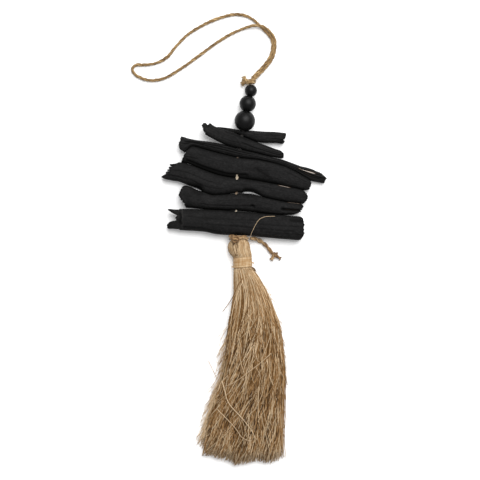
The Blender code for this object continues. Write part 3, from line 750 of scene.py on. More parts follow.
# The torn ends of a stick seen from above: points from its lower edge round to its upper one, how
# deep the end is open, and how thick the bark is round the hollow.
End = namedtuple("End", "outline hollow wall")
ENDS = {
    "stick_1": (End(((-25, 133), (-27, 134.6), (-28.4, 136), (-27.6, 137.2), (-28.8, 138.4),
        (-27.4, 139.2)), 1.5, 1.6), End(((36.4, 123.1), (38, 123.7), (37.8, 125), (37, 126.2), (38.3, 127.3),
        (38.8, 129.5), (39.4, 131.9), (39.4, 133.1)), 2, 2)),
    "stick_2": (End(((-37.8, 131.4), (-39.8, 133.9), (-40.4, 136.8), (-41.4, 140.2), (-40.7, 141.8),
        (-38.8, 142.3)), 1.5, 1.8), End(((36.9, 109.2), (37.5, 111.1), (37.4, 113.2), (36.3, 115.1),
        (34.4, 116.2)), 1, 2)),
    "stick_3": (End(((-58.7, 114.6), (-61.1, 116), (-62.9, 117.3), (-63.4, 119.3), (-64.1, 121.3),
        (-63, 122.6), (-63.6, 124), (-62.4, 125.6), (-62.6, 127.6), (-61.9, 129)), 2.5, 2), End(((76.6, 84.9),
        (77.3, 86.3), (77.9, 87.5), (79.5, 88.6), (78.6, 89.9), (76.8, 91.4), (74.2, 93.1)), 1.2, 1.6)),
    "stick_4": (End(((-61.1, 105.2), (-60.1, 108.2), (-59.2, 110.6), (-58.2, 113.2), (-56.7, 115.9),
        (-54.3, 118.3), (-51.9, 120)), 2.5, 2.6), End(((57.2, 78.3), (60.5, 78.5), (62.4, 78.8), (62.8, 80.3),
        (63.5, 82.4), (64, 84.8), (63.2, 87.2), (60.6, 88.9)), 1.5, 2.4)),
    "stick_5": (End(((-72.8, 88.2), (-77, 88.8), (-79.4, 89.5), (-81.2, 90.5), (-78.4, 91.7), (-75.7, 92.8),
        (-73.4, 94.3), (-75.8, 95.3), (-72.4, 96.3), (-76.4, 97.5), (-72.6, 98.5), (-73.6, 100.5),
        (-68.6, 101.6), (-72.8, 102.8), (-66.6, 103.5), (-65, 104.3)), 4, 1.6), End(((56.1, 65), (58, 65.9),
        (59.4, 67.9), (60.7, 69.5), (60.6, 71.8), (59.8, 74.4), (58.2, 76.1), (56.6, 77.3)), 1, 2.6)),
    "stick_6": (End(((-57, 61.2), (-58.6, 63), (-57.6, 64.2), (-60.6, 65.6), (-59.6, 66.8), (-62.4, 67.8),
        (-62, 69.4), (-64.6, 71.6), (-63.4, 74.7), (-62.3, 77.6), (-60.9, 79.6), (-58.4, 81)), 2, 2.2),
        End(((47.5, 54.4), (51.2, 55.4), (53.5, 56.7), (54, 58.1), (55.3, 60), (56.4, 62.2), (55.9, 63.5),
        (54.3, 64.5)), 15, 1.5)),
    "stick_7": (End(((-74.7, 39.9), (-74.7, 41.2), (-75.8, 42.7), (-74.3, 44.3), (-73.3, 46), (-71.3, 46.9),
        (-68.4, 47.6), (-66.5, 48.8), (-66, 50.1), (-67.7, 51.9), (-66.7, 53), (-65.3, 54), (-66.2, 55.6),
        (-68.4, 56.7), (-70.8, 58.1), (-73.2, 59.2), (-74.4, 60.2)), 13, 1.5), End(((53.4, 29.8),
        (54.5, 30.7), (56.1, 33.3), (56.9, 35.4), (56.7, 41.2), (57, 45.6), (56.5, 48.5), (56.1, 50.4),
        (54.9, 51.6), (52.9, 52.2)), 8, 1.7)),
}

# How much further up the picture a stick's upper edge lies than its solid's, along X.
FULLER = {
    "stick_2": ((-38.8, 0.7), (-37.4, 0.3), (-36.1, -1.5), (-35, 0.4), (-34, 1.4), (-32.8, 0.8), (-30, 0)),
    "stick_3": ((-62, 0.9), (-53, 0.9), (-44, 1.3), (-34, 1.2), (-26, 0.9), (-14, 0.6), (-8, 0), (54, 0),
        (60, 1.3), (66, 2.1), (70, 1.9), (73, 1.3), (77, 0.4)),
    "stick_6": ((-60, 1.3), (-52, 1.5), (-46, 1.8), (-42, 1.6), (-36, 0.3), (-32, 0), (-8, 0), (-3, 0.4),
        (3, 0.8), (8, 0.7), (14, 0.2), (18, 0)),
}

# Cracks and seams: from and to along X, where they start and end across the top, from -1 at the low
# edge to 1 at the high one, how deep and how wide they are. Each is darkened by its depth, as
# painted shade in the groove.
CRACKS = {
    "stick_1": ((5, 36, 0.3, 0.4, 0.35, 1), (-12, 20, -0.2, -0.1, 0.3, 0.8), (24, 40, -0.4, -0.3, 0.6, 1)),
    "stick_2": ((-36, -8, 0.5, 0.3, 0.35, 1), (-4, 38, -0.1, -0.35, 0.7, 1.2),
        (16, 38, 0.2, 0.25, 0.5, 0.8), (-26, 10, -0.35, -0.2, 0.25, 0.8), (-20, 4, 0.72, 0.8, 0.5, 1.4)),
    "stick_3": ((-60, 10, 0.45, 0.5, 1.1, 1.6), (-62, -30, 0.1, -0.1, 0.7, 1.2),
        (-40, 36, -0.25, -0.1, 0.7, 1.2), (22, 74, 0.6, 0.5, 0.6, 1), (34, 78, -0.1, 0, 1, 1.4),
        (36, 74, -0.55, -0.4, 0.8, 1.2)),
    "stick_4": ((-50, -10, 0.4, 0.3, 0.25, 1), (7, 27, 0.35, -0.8, 0.3, 2.6),
        (-58, 4, -0.8, -0.8, 1.3, 2.6), (36, 62, 0.5, 0.3, 0.3, 0.9), (-60, -44, -0.3, -0.2, 0.4, 0.8)),
    "stick_5": ((-72, -30, 0.1, 0.2, 0.3, 1), (-60, -20, -0.5, -0.4, 0.25, 1), (10, 50, 0.3, 0.4, 0.25, 1),
        (-76, -58, -0.55, -0.6, 0.5, 0.8)),
    "stick_6": ((-60, -56, 0.75, -0.7, 0.7, 1), (-57, -53, 0.7, -0.7, 0.6, 0.8),
        (-30, 30, 0.2, 0.25, 0.25, 0.8), (34, 54, -0.32, -0.36, 2.6, 3.2), (-44, 8, -0.5, -0.5, 0.3, 1)),
    "stick_7": ((-58, 20, 0.25, 0.3, 0.3, 1), (-40, 50, -0.3, -0.35, 0.35, 1),
        (10, 55, 0.05, 0.1, 0.3, 0.8), (42, 58, 0.74, 0.7, 1.8, 1.9), (-62, -20, -0.72, -0.8, 0.6, 1.4),
        (18, 56, -0.62, -0.6, 0.3, 0.8)),
}

# Hollows pressed into a stick's top: along X, across, how far they reach both ways, and depth. Each
# is darkened by its depth, as painted shade in the hollow.
DENTS = {
    "stick_4": ((13, -0.35, 9, 0.5, 1.1), (-56, 0.3, 3, 0.3, 0.5)),
    "stick_6": ((7.2, -0.46, 1.5, 0.16, 3.4), (37.6, -0.26, 1.6, 0.2, 2.4), (-52, -0.4, 3, 0.3, -0.6)),
    "stick_2": ((-36.4, 0.8, 2, 0.5, 0.9),),
}

# Where the floor shows between a stick and its neighbour: from and to along X, how wide it is, and
# how far to the right it is widest. The flanks there slope down to the floor.
SLITS = {name: ((-56.5, -40.5, 1.3, 2.3), (-2.6, 15.2, 1.3, 0.66)) for name in ("stick_5", "stick_6")}

# Thin pale lines of painted light along a stick's upper edge, where light shows through the gap
# above it: from and to along X, how far up it they lie, how pale.
PAINTED_GAP_LIGHT = {"stick_5": (31, 45, 0.905, 0.85), "stick_6": (40, 55, 0.95, 0.62)}

# How far a stick's flanks fill out towards its neighbours, so that no floor shows between them.
SWELL = {"stick_4": 0.85, "stick_5": 0.85}

# How deep the bark is chipped round the cord's hole, on the upper and the lower side.
CHIPS = {
    "stick_1": (0.4, 0),
    "stick_2": (0, 0.4),
    "stick_3": (0.4, 0.6),
    "stick_4": (0.5, 2.6),
    "stick_5": (2.2, 0.9),
    "stick_6": (0.8, 0.8),
    "stick_7": (0.6, 0),
}
CHIP_WIDTH = 1.05

# How strong the long ridges of a stick are, where they aren't at their usual strength.
RIDGED = {"stick_1": 0.5, "stick_2": 0.45, "stick_3": 0.85}

STICK_SIDES = 112
STICK_STEP = 0.85
STICK_SWELL = 0.6
ROLL_EDGE = -62.6


def stick_edges(name):
    """A stick's low and high edge and its bottom and top along X, from its solid and its torn ends."""
    low, high = (corner[0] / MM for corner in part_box(name))
    stations = np.arange(low + 0.9, high - 0.9, 1)
    cut = softened(sliced(name, 0, stations), 2)
    hole = joint_of(name)["pos_m"][0] / MM
    clear = np.abs(stations - hole) > 4
    edges = []
    for k, corner in ((0, 0), (1, -1)):
        first, last = (end.outline[corner] for end in ENDS[name])
        inner = clear & (stations > first[0] + 5) & (stations < last[0] - 5)
        along = np.concatenate(([first[0]], stations[inner], [last[0]]))
        heights = np.concatenate(([first[1]], cut[inner, k], [last[1]]))
        if k == 1 and name in FULLER:
            places, extra = np.array(FULLER[name], float).T
            fine = np.union1d(along, places[(places > along[0]) & (places < along[-1])])
            heights = np.interp(fine, along, heights) + np.interp(fine, places, extra)
            along = fine
        edges.append((along, heights))
    inner = clear & (stations > low + 8) & (stations < high - 8)
    return edges + [(stations[inner], cut[inner, k]) for k in (2, 3)], hole


def stick_section(edges, x, turns, shrink=0):
    """Points of a stick's skin at given places along it and turns about it."""
    low, high, bottom, top = (np.interp(x, *edge) for edge in edges)
    y = (low + high) / 2 + ((high - low) / 2 - shrink) * np.cos(turns)
    z = (bottom + top) / 2 + ((top - bottom) / 2 - shrink) * np.sin(turns)
    return y, z, np.maximum(np.minimum(high - low, top - bottom) / 2, 0.5)


def stick_rims(name, turns, seed):
    """Where the bark ends, at each turn about the stick, at the left and at the right."""
    rims = []
    for end, way in zip(ENDS[name], (-1, 1)):
        reaches, heights = np.array(end.outline).T
        y = (heights[0] + heights[-1]) / 2 + (heights[-1] - heights[0]) / 2 * np.cos(turns)
        teeth = 0.5 * noise(np.arange(len(turns)) * 0.55, way, seed=seed + 9)
        teeth = teeth - 1.5 * unit(-np.sin(turns)) * np.abs(noise(turns * 2, way * 3, seed=seed))
        rims.append(np.interp(y, heights, reaches) + way * teeth)
    return rims


def ring_shares(first, last, hole):
    """Where a stick's rings lie from its left to its right end, closer together at the ends and the hole."""
    fine = np.linspace(0, 1, 1000)
    crowd = 1 + 2.2 * bell((first + fine * (last - first) - hole) / 3.5)
    crowd = crowd + 0.8 * np.exp(-fine / 0.04) + 0.8 * np.exp(-(1 - fine) / 0.04)
    crowd = np.cumsum(crowd)
    count = round((last - first) / STICK_STEP)
    return np.interp(np.linspace(crowd[0], crowd[-1], count), crowd, fine)[:, None]


def stick_relief(name, x, ring, hole, seed):
    """How far the bark sinks below a smooth stick, and its shade, with painted shade on its flanks
    and in its cracks and dents.
    """
    across, up = np.cos(ring), np.sin(ring)
    arc_y, arc_z = across * 6.5, up * 6.5
    ridges = rough_noise(x / 24, arc_y / 2.6, arc_z / 2.6, seed, 3)
    wrinkles = rough_noise(x / 9, arc_y / 0.8, arc_z / 0.8, seed + 20, 2)
    lumps = noise(x / 17, arc_y / 9, arc_z / 9, seed + 40)
    pits = rough_noise(x / 2.6, arc_y / 1.5, arc_z / 1.5, seed + 80, 2)
    strength = RIDGED.get(name, 0.3)
    sink = 0.4 * strength * np.maximum(0, ridges + 0.25) + 0.25 * (lumps + 1) / 2
    sink = sink + 0.16 * (0.4 + 0.6 * strength) * (wrinkles + 0.6) + 0.16 * (pits + 0.5)
    sink = sink * (1 - 0.88 * np.abs(across) ** 3)
    shade = 0.42 + 0.3 * strength * ridges + 0.22 * strength * wrinkles + 0.22 * pits
    # Painted shade: the lower flank, turned away from the lamp, and the upper flank, where the sticks meet,
    # are darker.
    shade = shade - 0.75 * np.clip(-across - 0.72, 0, 0.28) / 0.28
    shade = shade - 0.3 * np.clip(across - 0.85, 0, 0.15) / 0.15
    for start, end, first, last, depth, width in CRACKS[name]:
        share = (x - start) / (end - start)
        line = first + (last - first) * share + 0.05 * noise(x / 9, first * 9, 0, seed + 60)
        groove = bell((across - line) / (0.07 * width)) * between(x, start, end, 3) * (up > -0.2)
        sink = sink + depth * 1.3 * groove
        # Painted shade in the groove, darker the deeper it is.
        shade = shade - min(0.75, 0.8 * depth) * groove
    for along, line, reach, spread, depth in DENTS.get(name, ()):
        dent = bell((x - along) / reach, (across - line) / spread) * (up > -0.2)
        sink = sink + depth * dent
        # Painted shade in the hollow.
        shade = shade - 0.12 * depth * dent
    near = np.exp(-((x - hole) / CHIP_WIDTH) ** 4) * (up > -0.35)
    gaps = (np.abs(ring - 2 * np.pi * (ring > np.pi)), np.abs(ring - np.pi))
    for depth, gap in zip(CHIPS[name], gaps):
        sink = sink + depth * near * unit(1.35 - gap / 0.7)
    return sink, shade


def rolled_edge(x, ring, sink, shade, seed):
    """The groove and the pale line where stick_7's bark rolls into its left end: the groove is darkened
    as painted shade, and the pale line is a painted highlight on the rolled rim.
    """
    edge = ROLL_EDGE - 0.6 * noise(ring[:1] * 3, seed=seed)
    groove = bell((x - edge) / 0.9) * unit((0.62 - np.abs(np.cos(ring) - 0.05)) / 0.1)
    sink = sink + 0.8 * unit((edge - x) / 0.5) + 1.2 * groove
    return sink, shade + 0.62 * bell((x - edge - 1.9) / 0.6) - 1.6 * groove


def flanks(name, x, ring):
    """How far a stick's flanks fill out towards its neighbours, and how far they flare to the floor."""
    across = np.cos(ring)
    swell, flared = np.abs(across), np.zeros(x.shape)
    facing = (across < 0) == (name == "stick_5")
    for start, end, wide, skew in SLITS.get(name, ()):
        share = unit((x - start) / (end - start)) ** skew
        open_here = np.sin(np.pi * share) ** 0.8 * facing
        swell = swell * (1 - wide * open_here)
        flared = np.maximum(flared, 0.78 * open_here * np.abs(across) ** 4)
    return swell * SWELL.get(name, STICK_SWELL), flared


def stick(name, seed):
    """A stick of bark: the frame's solid, with torn ends, ridges, wrinkles and cracks."""
    edges, hole = stick_edges(name)
    turns = 2 * np.pi * np.arange(STICK_SIDES) / STICK_SIDES
    rims = stick_rims(name, turns, seed)
    x = rims[0] + (rims[1] - rims[0]) * ring_shares(rims[0].mean(), rims[1].mean(), hole)
    ring = np.broadcast_to(turns, x.shape)
    sink, shade = stick_relief(name, x, ring, hole, seed)
    mark = np.zeros(x.shape)
    if name == "stick_3":
        mark, dip = pale_sliver(x, ring)
        sink = sink + dip
    # Pale lines of painted light where light shows between this stick and its neighbour.
    if name in PAINTED_GAP_LIGHT:
        mark = painted_gap_light(name, x, ring)
    if name == "stick_7":
        sink, shade = rolled_edge(x, ring, sink, shade, seed)
    ends_near = np.minimum(x - rims[0], rims[1] - x)
    sink = sink + 0.5 * np.exp(-ends_near / 0.8)
    shade = shade - 0.45 * np.exp(-ends_near / 1.1)
    swell, flared = flanks(name, x, ring)
    _, _, radius = stick_section(edges, x, ring)
    y, z, _ = stick_section(edges, x, ring, np.minimum(sink - swell, radius * 0.6))
    points = np.stack((x, y, np.maximum(z * (1 - flared), FLOOR_GAP)), axis=-1)
    left, right = (
        end_rings(edges, rim, points[at], end, way, seed)
        for end, rim, at, way in zip(ENDS[name], rims, (0, -1), (-1, 1))
    )
    pile = Pile()
    pile.tube(*(np.vstack((a[::-1], b, c)) for a, b, c in zip(left, (points, shade, mark), right)), flip=True)
    finish_piece(pile.build(name + "_bark", BARK), name, "black_bark", name)


# Rings of an open end: how far each goes in from the skin, in walls of bark, and how far down the
# hollow, in depths of it. Past one wall the rings close over its floor.
END_STEPS = (0.05, 0.4, 0.75, 1, 1, 1, 1, 1.1, 1.5, 2)
END_DEPTHS = (-0.15, -0.1, 0.1, 0.35, 0.5, 0.75, 0.95, 1, 1.02, 1)


def end_rings(edges, rim, skin, end, way, seed):
    """Rings of an open end: in over the broken edge of the bark, down its inside and across its floor."""
    turns = 2 * np.pi * np.arange(STICK_SIDES) / STICK_SIDES
    rings, tones, woods = [], [], []
    for k, (step, depth) in enumerate(zip(END_STEPS, END_DEPTHS)):
        ragged = 0.25 * noise(turns * 7, k * 1.7, way, seed + 70)
        x = rim - way * (depth * end.hollow if depth > 0.2 else 0.6 * depth * min(end.hollow, 2)) + ragged
        y, z, _ = stick_section(edges, rim - way * depth * end.hollow, turns)
        centre = np.array((y.mean(), z.mean()))
        reach = np.hypot(*(skin[:, 1:] - centre).T)
        thin = np.minimum(end.wall * (1 + 0.2 * noise(turns * 3, way * 2, seed=seed + 71)), reach * 0.5)
        left_over = reach - thin * min(step, 1)
        if step > 1:
            left_over = left_over * (2.06 - step) ** 0.8
        share = left_over / np.maximum(reach, 1e-6)
        rings.append(np.column_stack((x, centre + (skin[:, 1:] - centre) * share[:, None])))
        # Painted shade: the rings darken as they go in over the broken edge and down the hollow.
        tones.append(0.5 - 0.25 * unit((step - 0.3) / 0.7) + 0.2 * noise(turns * 5, k, seed=seed + 72))
        woods.append(np.full(len(turns), 0.13 if step >= 1 and end.hollow > 10 and way > 0 else 0))
    return np.array(rings), np.array(tones), np.array(woods)


def painted_gap_light(name, x, ring):
    """A thin pale line of painted light along the upper edge of a stick, where light shows through the gap.
    """
    start, end, line, pale = PAINTED_GAP_LIGHT[name]
    inside = between(x, start, end, 3) * (np.sin(ring) > 0)
    return pale * bell((np.cos(ring) - line) / 0.035) * inside


def pale_sliver(x, ring):
    """Where stick_3 has lost its bark: a long pale sliver with a brown edge, and how deep it is.
    A grey spot lies at its start, and brown specks below it."""
    start, end = 54, 69
    across = np.cos(ring)
    along = unit((x - start) / (end - start))
    half = 0.14 * np.sqrt(np.maximum(0, np.sin(np.pi * along))) * ((x > start) & (x < end))
    gap = np.abs(ring - np.arccos(0.36 + 0.21 * along))
    edge = unit((half + 0.10 - gap) / 0.10) * (half > 0)
    spot = bell((x - 53.2) / 1.3, (across - 0.38) / 0.14)
    specks = bell((x - 61.5) / 4.5, (across + 0.1) / 0.24) * unit(0.4 + noise(x / 1.1, across * 9, seed=9))
    mark = np.maximum(0.2 * edge, unit((half - gap) / 0.07))
    return np.maximum(mark, np.maximum(0.8 * spot, 0.3 * specks) * (np.sin(ring) > 0)), 0.6 * edge


# ---------------------------------------------------------------- tassel

SKIRT_TOP = 2

# Where the skirt ends, at each share of its width from the left.
HEM = (
    (0, -168), (0.05, -172), (0.1, -176), (0.25, -179.5), (0.36, -181), (0.44, -186), (0.55, -184),
    (0.7, -181.5), (0.82, -184), (0.92, -183), (1, -179),
)

# Below this height the solid's strands end, and its sections are carried on from above.
EVEN_FROM = -166
HEM_SLOPE = 0.15


def girths():
    """The tassel's sections down its length, read from the frame: y, left, right, bottom and top."""
    low, high = (corner[1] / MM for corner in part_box("tassel"))
    stations = np.concatenate((np.arange(EVEN_FROM, 0, 4), np.arange(0.5, high - 0.4, 1.5)))
    cut = sliced("tassel", 1, stations)
    slope = (cut[8] - cut[0]) / (stations[8] - stations[0])
    slope[2:] = (0, HEM_SLOPE)
    return np.concatenate(([low], stations)), np.vstack((cut[0] + slope * (low - EVEN_FROM), cut))


GIRTH_Y, GIRTH_CUT = girths()


def girth_at(y):
    """The tassel's left, right, bottom and top at a height."""
    return [np.interp(y, GIRTH_Y, GIRTH_CUT[:, k]) for k in range(4)]


def skirt_width(y):
    """How wide the tassel is at a height."""
    return np.interp(y, GIRTH_Y, GIRTH_CUT[:, 1] - GIRTH_CUT[:, 0])


def crown(side):
    """How high the tassel's D-shaped section is at a share of its half width."""
    return 0.42 + 0.58 * np.sqrt(np.maximum(0, 1 - np.clip(side, -1, 1) ** 2))


def place(across, up, y, grow=0):
    """Points of the tassel's D-shaped sections, from shares of width and height."""
    left, right, bottom, top = girth_at(y)
    side = 2 * across - 1
    belly = 1 - 0.3 * np.maximum(0, 0.9 - 2 * up) ** 2
    x = (left + right) / 2 + ((right - left) / 2 * belly + grow) * side
    z = bottom + (top - bottom) * up * crown(side) + grow * (2 * up - 1)
    return np.stack(np.broadcast_arrays(x, y, z), axis=-1)


# Layers of the skirt: how many locks, fibres in a lock, the shares of height between which they
# lie, points along a fibre, how far inside the hem they end, and a seed.
Layer = namedtuple("Layer", "name locks members low high points inset seed")
LAYERS = (
    Layer("skirt_front", 420, 2, 0.84, 1.00, 18, 0, 101),
    Layer("skirt_over", 420, 3, 0.64, 0.88, 18, 1, 105),
    Layer("skirt_upper", 300, 3, 0.42, 0.68, 14, 3, 102),
    Layer("skirt_middle", 120, 6, 0.20, 0.48, 10, 5, 103),
    Layer("skirt_back", 150, 6, 0, 0.22, 12, 3, 104),
)

# How far the fibres lean to the left over their whole length and over the lower half, and how wide
# the skirt is at the hem.
SWEEP = 26
LOW_SWEEP = 18
HEM_WIDTH = 84

# How far inside the solid's left and right edge the thick of the skirt ends, at each height from
# the hem up. Single fibres stand off it.
LEFT_INSET = (
    (-178, 1.5), (-168, 4.2), (-153, 8), (-137, 9.4), (-122, 10.6), (-106, 12.4), (-90, 11.4), (-75, 8.2),
    (-62, 5.4), (-50, 4.6), (-12, 0),
)
RIGHT_INSET = (
    (-186, 4), (-176, 5.6), (-161, 6.4), (-137, 5.6), (-120, 4.6), (-98, 4), (-91, 2.8), (-75, 1.6),
    (-44, 1.6), (-24, 0),
)


def skirt_side(across, lateral, steps, width):
    """Shares of the skirt's width along fibres, which lean to the left as they go down."""
    lean = SWEEP * unit((steps - 0.22) / 0.78) ** 1.3
    lean = lean + LOW_SWEEP * unit(2 * steps - 1) ** 1.5
    return across + (lateral - (1 - 0.85 * across) * lean) / width


def skirt_layer(layer):
    """A layer of the skirt: locks that wander and cross, each of a few fibres that end unevenly."""
    draw = np.random.default_rng(layer.seed)
    locks = layer.locks
    lock = np.repeat(np.arange(locks), layer.members)
    count = len(lock)
    across = ((np.arange(locks) + draw.uniform(0, 1, locks)) / locks)[lock][:, None]
    up = (draw.uniform(layer.low, layer.high, locks)[lock] + draw.uniform(-0.1, 0.1, count))[:, None]
    phase = draw.uniform(0, 90, locks)[lock][:, None]
    own = draw.uniform(0, 90, count)[:, None]
    spread = (draw.normal(0, 1.2, count) * draw.uniform(0.4, 1.5, locks)[lock])[:, None]
    astray = draw.uniform(0, 1, count) < 0.5
    drift = np.where(astray, draw.normal(-7, 19, count), draw.normal(-1, 3, count))[:, None]
    parting = draw.uniform(0, 0.62, count)[:, None]
    short = np.where(draw.uniform(0, 1, count) < 0.15, draw.uniform(4, 80, count), 0)
    past_hem = 3.5 - draw.exponential(3.6, count) + draw.normal(0, 0.8, locks)[lock] - layer.inset - short

    def side_at(steps, width):
        loose = 0.12 + unit(1.25 * steps)
        wander = 4.4 * rough_noise(steps * 3.6 + phase, seed=layer.seed, octaves=2) * loose
        fan = 0.4 + 1.3 * np.abs(noise(steps * 4.6 + phase + 40, seed=layer.seed + 1))
        alone = 2.4 * noise(steps * 5 + own, seed=layer.seed + 2) * loose
        astray_by = drift * unit((steps - parting) / (1 - parting)) ** 1.2
        return skirt_side(across, wander + spread * fan + alone + astray_by, steps, width)

    tip = unit(side_at(np.ones((1, 1)), HEM_WIDTH)[:, 0])
    end = (at_place(HEM, tip) - past_hem)[:, None]
    stop = 1 - 0.97 * draw.uniform(0, 1, count)[:, None] ** 2.5
    fine = np.linspace(0, 1, 81)[None, :]
    y = SKIRT_TOP + (end - SKIRT_TOP) * fine
    width = skirt_width(y)
    gone = side_at(fine, width) * width < stop * at_place(LEFT_INSET, y)
    last = np.where(gone.any(axis=1), gone.argmax(axis=1) / 80, 1)[:, None]
    full = np.linspace(0, 1, layer.points)[None, :]
    steps = full * last
    y = SKIRT_TOP + (end - SKIRT_TOP) * steps
    width = skirt_width(y)
    side = side_at(steps, width)
    limit = 1.015 - at_place(RIGHT_INSET, y) / width
    side = np.clip(np.where(side > limit, limit + 0.2 * (side - limit), side), -0.09, 1.04)
    free = 0.15 + np.clip(2.5 * steps - 0.15, 0, 0.85)
    rise = up + 0.12 * free * noise(steps * 6 + own + 60, seed=layer.seed + 5)
    if layer.high > 0.5:
        rise = rise + 0.11 * free * noise(steps * 5.4 + phase + 30, seed=layer.seed + 3)
    paths = place(side, np.clip(rise, 0, 1.08), y)
    size = draw.uniform(0.24, 0.42, count) * np.where(draw.uniform(0, 1, count) < 0.08, 1.35, 1)
    radius = size[:, None] * ((0.62 + 0.38 * np.minimum(1, full * 5)) * (1 - 0.35 * full ** 24))
    paths[..., 2] = np.maximum(paths[..., 2], radius * 0.6)
    pick = draw.uniform(0, 1, count)
    tone = 0.53 + draw.normal(0, 0.2, count) + draw.normal(0, 0.02, locks)[lock]
    shade = skirt_shade(pick, tone, side, steps, full, free, rise)
    pile = Pile()
    fibres(pile, paths, radius, shade + 0.07 * noise(steps * 9 + own, seed=layer.seed + 4))
    return pile.build(layer.name, RAFFIA)


def skirt_shade(pick, tone, side, steps, full, free, rise):
    """Shades along the skirt's fibres: a few light and many dark ones, even and pale at the top, darker
    low in the middle, darker where they lie deep as painted shade, and with tips lightened as painted
    light, more so on the deep layers."""
    tone = tone + np.where(pick < 0.14, 0.38, 0)
    top = unit(0.5 - steps) / 0.5
    shade = tone[:, None] - np.where(pick > 0.70, 1, 0)[:, None] * (0.36 + 0.3 * steps)
    shade = unit(shade) * (1 - 0.55 * top) + 0.62 * top - 0.07 * steps
    shade = shade - 0.30 * bell((side - 0.5) / 0.24, (steps - 0.73) / 0.17)
    # Painted shade where fibres lie deep; then the tips are lightened as painted light, more on deep layers.
    shade = shade + 0.45 * free * np.clip(rise - 0.92, -0.5, 0.1)
    return shade + (0.6 + 0.5 * unit(0.8 - rise)) * unit(full - 0.92) / 0.08


# Stray fibres that show one by one: points from the root to the tip as X, Y and the height above
# the skirt or, past its edge, above the floor, then thickness and shade.
STRAYS = (
    (((-1.2, -5.6, 0.4), (-6.1, -12.9, 1.2), (-12.1, -26.2, 1.2), (-16.9, -33.6, 2), (-22.3, -40.7, 1)),
     0.42, 0.42),
    (((-1.5, -9, 0.3), (-6, -19, 1), (-10.5, -32, 1.4), (-14.5, -53, 1)), 0.32, 1),
    (((-22.6, -105.7, 3), (-19.6, -116, 1.5), (-17.4, -125, 1.5), (-2.7, -142.8, 1.6), (6, -154, 1.6),
     (11, -164.2, 1)), 0.38, 1.2),
    (((-27.6, -133.5, 1), (-17, -144, 1.4), (-8.3, -153.5, 1.4), (-2, -162.5, 1.2), (6.6, -164.8, 1)), 0.3,
     1.1),
    (((-36, -87, 0.6), (-32, -95, 1.2), (-27.5, -104.4, 1.6), (-24, -110, 0.6)), 0.3, 0.7),
    (((26, -79, 1), (16, -88, 1.4), (4.9, -96.5, 1.5), (-12.6, -109.1, 1.2), (-20, -112, 0.8)), 0.26, 1),
    (((18, -14, 0.6), (22.6, -19, 2), (25.2, -24, 2.5), (25.6, -30, 1)), 0.24, 0.8),
    (((20, -19, 0.6), (23, -23, 2), (24.6, -27, 2), (23.6, -31.5, 1)), 0.24, 0.9),
    (((22, -22, 0.8), (26.4, -24, 4.6), (27.4, -21.4, 5)), 0.2, 0.8),
    (((24, -26, 0.6), (29.5, -31, 4), (33, -38, 4), (36, -46, 2)), 0.24, 0.85),
    (((35, -64, 0.6), (40, -72, 2), (46.5, -79, 2)), 0.2, 0.9),
    (((32, -92, 0.6), (38.5, -106, 2), (43, -113, 1)), 0.18, 0.9),
    (((36, -130, 0.5), (41, -146, 2.5), (43.5, -152, 1)), 0.2, 0.8),
)


def skirt_top(x, y):
    """How high the skirt's surface lies at a place, or the floor's height past its edges."""
    left, right, bottom, top = girth_at(y)
    side = 2 * (x - left) / (right - left) - 1
    return bottom + (top - bottom) * crown(side) * unit((1.04 - np.abs(side)) / 0.08)


def edge_wisps(pile):
    """Fine fibres whose tips stand off the skirt's edges, most of them at the left."""
    draw = np.random.default_rng(77)
    count = 640
    left = draw.uniform(0, 1, count) < 0.72
    root = np.where(left, -40 - 118 * draw.uniform(0, 1, count) ** 0.7, draw.uniform(-150, -30, count))
    run = np.minimum(draw.uniform(12, 36, count), root + np.where(left, draw.uniform(160, 174, count), 180))
    steps = np.linspace(0, 1, 9)[None, :]
    inside = np.where(left, draw.uniform(0.02, 0.12, count), 0.92)
    out = np.where(left, -draw.uniform(0, 10, count), draw.uniform(2, 7.5, count))
    y = root[:, None] - run[:, None] * steps
    paths = place(np.broadcast_to(inside[:, None], y.shape), 0.75, y)
    paths[..., 0] += out[:, None] * steps ** draw.uniform(0.8, 1.6, count)[:, None]
    paths[..., 0] += 0.9 * noise(steps * 3 + draw.uniform(0, 90, count)[:, None], seed=78)
    fall = 1 - draw.uniform(0.2, 0.9, count)[:, None] * steps
    paths[..., 2] = np.maximum(paths[..., 2] * fall, 0.25)
    shade = np.where(left, draw.uniform(0.6, 1.3, count), draw.uniform(0.5, 1, count))
    fibres(pile, paths, draw.uniform(0.11, 0.22, count), shade)


def crossing_fibres(pile):
    """Single fibres that run aslant over the locks, for a short way each."""
    draw = np.random.default_rng(79)
    count = 620
    root = -22 - 138 * draw.uniform(0, 1, count) ** 0.8
    run = np.minimum(draw.uniform(16, 56, count), root + 180)
    steps = np.linspace(0, 1, 11)[None, :]
    y = root[:, None] - run[:, None] * steps
    start = draw.uniform(0.04, 0.98, count)[:, None]
    slant = draw.normal(-0.14, 0.32, count)[:, None] * run[:, None]
    arch = np.sin(np.pi * steps)
    bow = draw.normal(0, 2.2, count)[:, None] * arch
    side = np.clip(start + (slant * steps + bow) / skirt_width(y), 0.03, 0.97)
    lift = draw.uniform(1, 1.12, count)[:, None] + 0.04 * arch
    paths = place(side, lift - 0.16 * np.abs(2 * steps - 1) ** 3, y)
    shade = np.clip(draw.normal(0.66, 0.24, count), 0, 1.1)
    fibres(pile, paths, draw.uniform(0.18, 0.33, count), shade)


def strays():
    """Single fibres that lie across the others or stand off the skirt's edges."""
    pile = Pile()
    for points, size, shade in STRAYS:
        path = smooth_route(points, 2.5)
        path[:, 2] = np.maximum(path[:, 2] + 0.8 + skirt_top(path[:, 0], path[:, 1]), size)
        path = softened(path, 1)
        fibres(pile, path[None], size * np.linspace(1, 0.7, len(path))[None], [shade], sides=5)
    edge_wisps(pile)
    crossing_fibres(pile)
    return pile.build("skirt_strays", RAFFIA)


